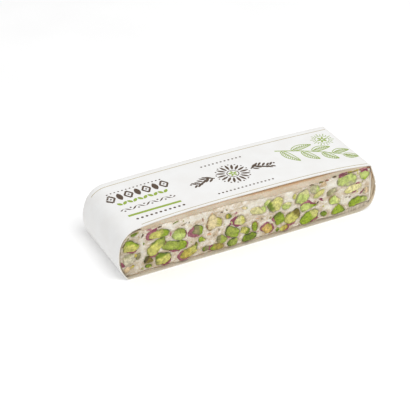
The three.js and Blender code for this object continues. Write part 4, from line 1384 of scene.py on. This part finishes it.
def build_wafer(name, left, underside, thickness, seed):
    """A thin crisp sheet that follows the bar, with an uneven surface and slightly ragged edges."""
    size_a, size_b = WAFER_RIGHT - left, BAR_BACK - 2 * WAFER_INSET
    front, back = np.linspace(0, FRONT_BAND, FRONT_ROWS), np.linspace(FRONT_BAND, size_b, BACK_ROWS)
    columns = np.linspace(0, size_a, WAFER_COLUMNS)
    a, b = np.meshgrid(columns, np.concatenate([front, back[1:]]), indexing="ij")
    moved_a, moved_b, inside = round_off(a, b, size_a, size_b, WAFER_CORNER)
    x = left + moved_a
    y = WAFER_INSET + moved_b + 0.22 * ripple(x, x * 0 + seed, 1.4) * (1 - smoothstep(moved_b, 0, 3))
    wavy = 0.09 * ripple(x, y, 3.6, seed) * smoothstep(inside, 0, 2)
    base = underside(x, y)
    upper, lower = base + thickness - WAFER_SKIN + wavy, base + WAFER_SKIN + wavy * 0.5
    # painted shade under the card, from 2 to 3 mm behind the window
    toast = smoothstep(y + 0.3 * ripple(x, y, 2.5, 4), 2.0, 3.0)
    return slab(name, xyz(x, y, upper), xyz(x, y, lower), a.shape[1], WAFER_SHEET, 40, {"toast": toast})


def above_bar(x, y):
    return bar_top(x, y) + GAP


def below_bar(x, y):
    return bar_floor(x) - GAP - WAFER - REST


UPPER_THICKNESS = WAFER + BAR_SLACK + REST  # each sheet also fills its slack
LOWER_THICKNESS = WAFER + REST
upper_wafer = build_wafer("upper_wafer", WAFER_TOP_LEFT, above_bar, UPPER_THICKNESS, seed=1.0)
lower_wafer = build_wafer("lower_wafer", WAFER_BOTTOM_LEFT, below_bar, LOWER_THICKNESS, seed=2.0)
belongs(upper_wafer, "wafer", "wafer_top")
belongs(lower_wafer, "wafer", "wafer_bottom")


# ---- Clear film ----

FILM_ROWS, FILM_COLUMNS = 46, 12
FILM_THICKNESS = 0.12
FOLDED_FROM, FOLDED_TO = 34.0, 67.6  # distances along the bar between which it is folded under
FOLDED_ROWS, FOLDED_COLUMNS = 60, 6
FOLDED_CLEAR, FOLDED_LEAST = 0.04, 0.1  # its clearance above the card, and its least height
FOLDED_MILKY = 0.35


def film(name, x, y, z, milky):
    front = xyz(x, y, z)
    back = front + (0, FILM_THICKNESS, 0)
    belongs(slab(name, front, back, x.shape[1], FILM, 60, {"milky": milky}), "wafer")


def card_floor(x):
    """Height of the card's inner face under the bar, which curls up at the right end."""
    curl = FRONT_LINE[(FRONT_LINE[:, 0] > HALF - 2 * FOOT) & (FRONT_LINE[:, 1] < BULGE_HEIGHT)]
    curl = curl[np.argsort(curl[:, 0])]
    return np.interp(x, curl[:, 0], curl[:, 1]) + CARD


def inner_wall(side, z):
    """The inner face of the left or right end panel at the window, side -1 or 1."""
    line = inset(FRONT_LINE, CARD)
    panel = line[(line[:, 0] * side > HALF - SHOULDER) & (line[:, 1] < CARTON_HEIGHT - 1.5 * CARD)]
    panel = panel[np.argsort(panel[:, 1])]
    return np.interp(z, panel[:, 1], panel[:, 0])


def end_film(name, side, rows, start, depth, slope, milky):
    """
    Film between one end of the bar and the card. It covers these rows of heights, starts this far inside
    the bar's end at this depth and slopes back towards the card.
    """
    # Downwards at the right end and upwards at the left one, so that the sheet's front faces the window.
    heights = np.linspace(*rows[::-side], FILM_ROWS)
    z, share = np.meshgrid(heights, np.linspace(0, 1, FILM_COLUMNS), indexing="ij")
    bar_end = BAR_RIGHT if side > 0 else -BAR_LEFT
    inner = side * (np.minimum(bar_end, side * end_wall(side, z, 0)) - start)
    outer = inner_wall(side, z) - side * FILM_THICKNESS
    x = inner + (outer - inner) * share
    y = depth + slope * share + 0.25 * ripple(x * 2.2, z * 0.3, 1.5, 3) * share
    film(name, x, y, z, milky(share, z))


def bright_edge(share, z):
    """Milky only beside the bar: the film's edge there, with a painted highlight along it."""
    return np.exp(-((share / 0.2) ** 2))


def milky_below(share, z):
    """Milky only low down."""
    return 0.75 - 0.75 * smoothstep(z, 11, 15)


def folded_film():
    """Film folded under the lifted right part of the bar."""
    along = np.linspace(FOLDED_FROM, FOLDED_TO, FOLDED_ROWS)
    x, share = np.meshgrid(along, np.linspace(0, 1, FOLDED_COLUMNS), indexing="ij")
    low, high = card_floor(x) + FOLDED_CLEAR, bar_floor(x) - GAP
    z = low + np.maximum(FOLDED_LEAST, high - low) * share
    y = 0.15 + 0.35 * (1 - share) + 0.1 * ripple(x * 0.7, z, 1.6, 6)
    film("folded_film", x, y, z, np.full(x.shape, FOLDED_MILKY))


end_film("end_film", 1, rows=(4.2, 24.4), start=0.1, depth=0.15, slope=0.6, milky=bright_edge)
end_film("left_film", -1, rows=(0.8, 20.5), start=1.0, depth=0.95, slope=0.0, milky=milky_below)
folded_film()


# ---- Floor, light and camera ----

FLOOR_REACH = 3.0  # m
SKY = 0.62  # strength of the even light from all round
# Square soft boxes: azimuth and elevation in degrees, distance and size in metres, and power in watts.
LAMPS = {
    "key": (24, 68, 1.1, 0.7, 5.6),
    "front": (10, 30, 1.2, 0.6, 0.9),
    "side": (-62, 22, 1.2, 0.8, 0.65),
}
CAMERA_AZIMUTH, CAMERA_ELEVATION = -28.9, 31.69
CAMERA_DISTANCE = 724.3
TARGET_Y, TARGET_Z = 0.84, 12.58  # what the camera stands square to
AIM_LEFT, AIM_DOWN = 0.01714, 0.00483  # and how far it then turns from that, as slopes
LENS, SENSOR = 127.3, 36
NEAREST_SEEN = 10.0


def direction(azimuth, elevation):
    """From the bar towards a place round it: azimuth 0 is in front of the window, 90 to the right."""
    a, e = math.radians(azimuth), math.radians(elevation)
    return Vector((math.sin(a) * math.cos(e), -math.cos(a) * math.cos(e), math.sin(e)))


def build_floor():
    mesh = bpy.data.meshes.new("floor")
    corners = [(-1, -1), (1, -1), (1, 1), (-1, 1)]
    mesh.from_pydata([(x * FLOOR_REACH, y * FLOOR_REACH, 0) for x, y in corners], [], [(0, 1, 2, 3)])
    mesh.materials.append(pale_floor())
    link("floor", mesh)


def build_lamp(name, azimuth, elevation, distance, size, power):
    """A soft box that points at the bar."""
    way = direction(azimuth, elevation)
    data = bpy.data.lights.new(name, "AREA")
    data.shape = "SQUARE"
    data.size = size
    data.energy = power
    lamp = link(name, data)
    lamp.location = way * distance
    lamp.rotation_euler = way.to_track_quat("Z", "Y").to_euler()


def build_camera():
    """A long lens from the front left and above."""
    back = direction(CAMERA_AZIMUTH, CAMERA_ELEVATION)
    side = Vector((0, 0, 1)).cross(back).normalized()
    up = back.cross(side)
    aim = (-back - AIM_LEFT * side - AIM_DOWN * up).normalized()
    data = bpy.data.cameras.new("camera")
    data.sensor_width = SENSOR
    data.lens = LENS
    data.clip_start = NEAREST_SEEN * MM
    camera = link("camera", data)
    camera.location = Vector((0, TARGET_Y, TARGET_Z)) * MM + back * CAMERA_DISTANCE * MM
    camera.rotation_euler = aim.to_track_quat("-Z", "Y").to_euler()
    bpy.context.scene.camera = camera


def build_sky():
    world = bpy.data.worlds.new("studio")
    world.use_nodes = True
    background = world.node_tree.nodes["Background"]
    background.inputs["Color"].default_value = (1, 1, 1, 1)
    background.inputs["Strength"].default_value = SKY
    bpy.context.scene.world = world


build_floor()
build_sky()
for name, settings in LAMPS.items():
    build_lamp(name, *settings)
build_camera()
bpy.context.scene.view_settings.view_transform = "Standard"
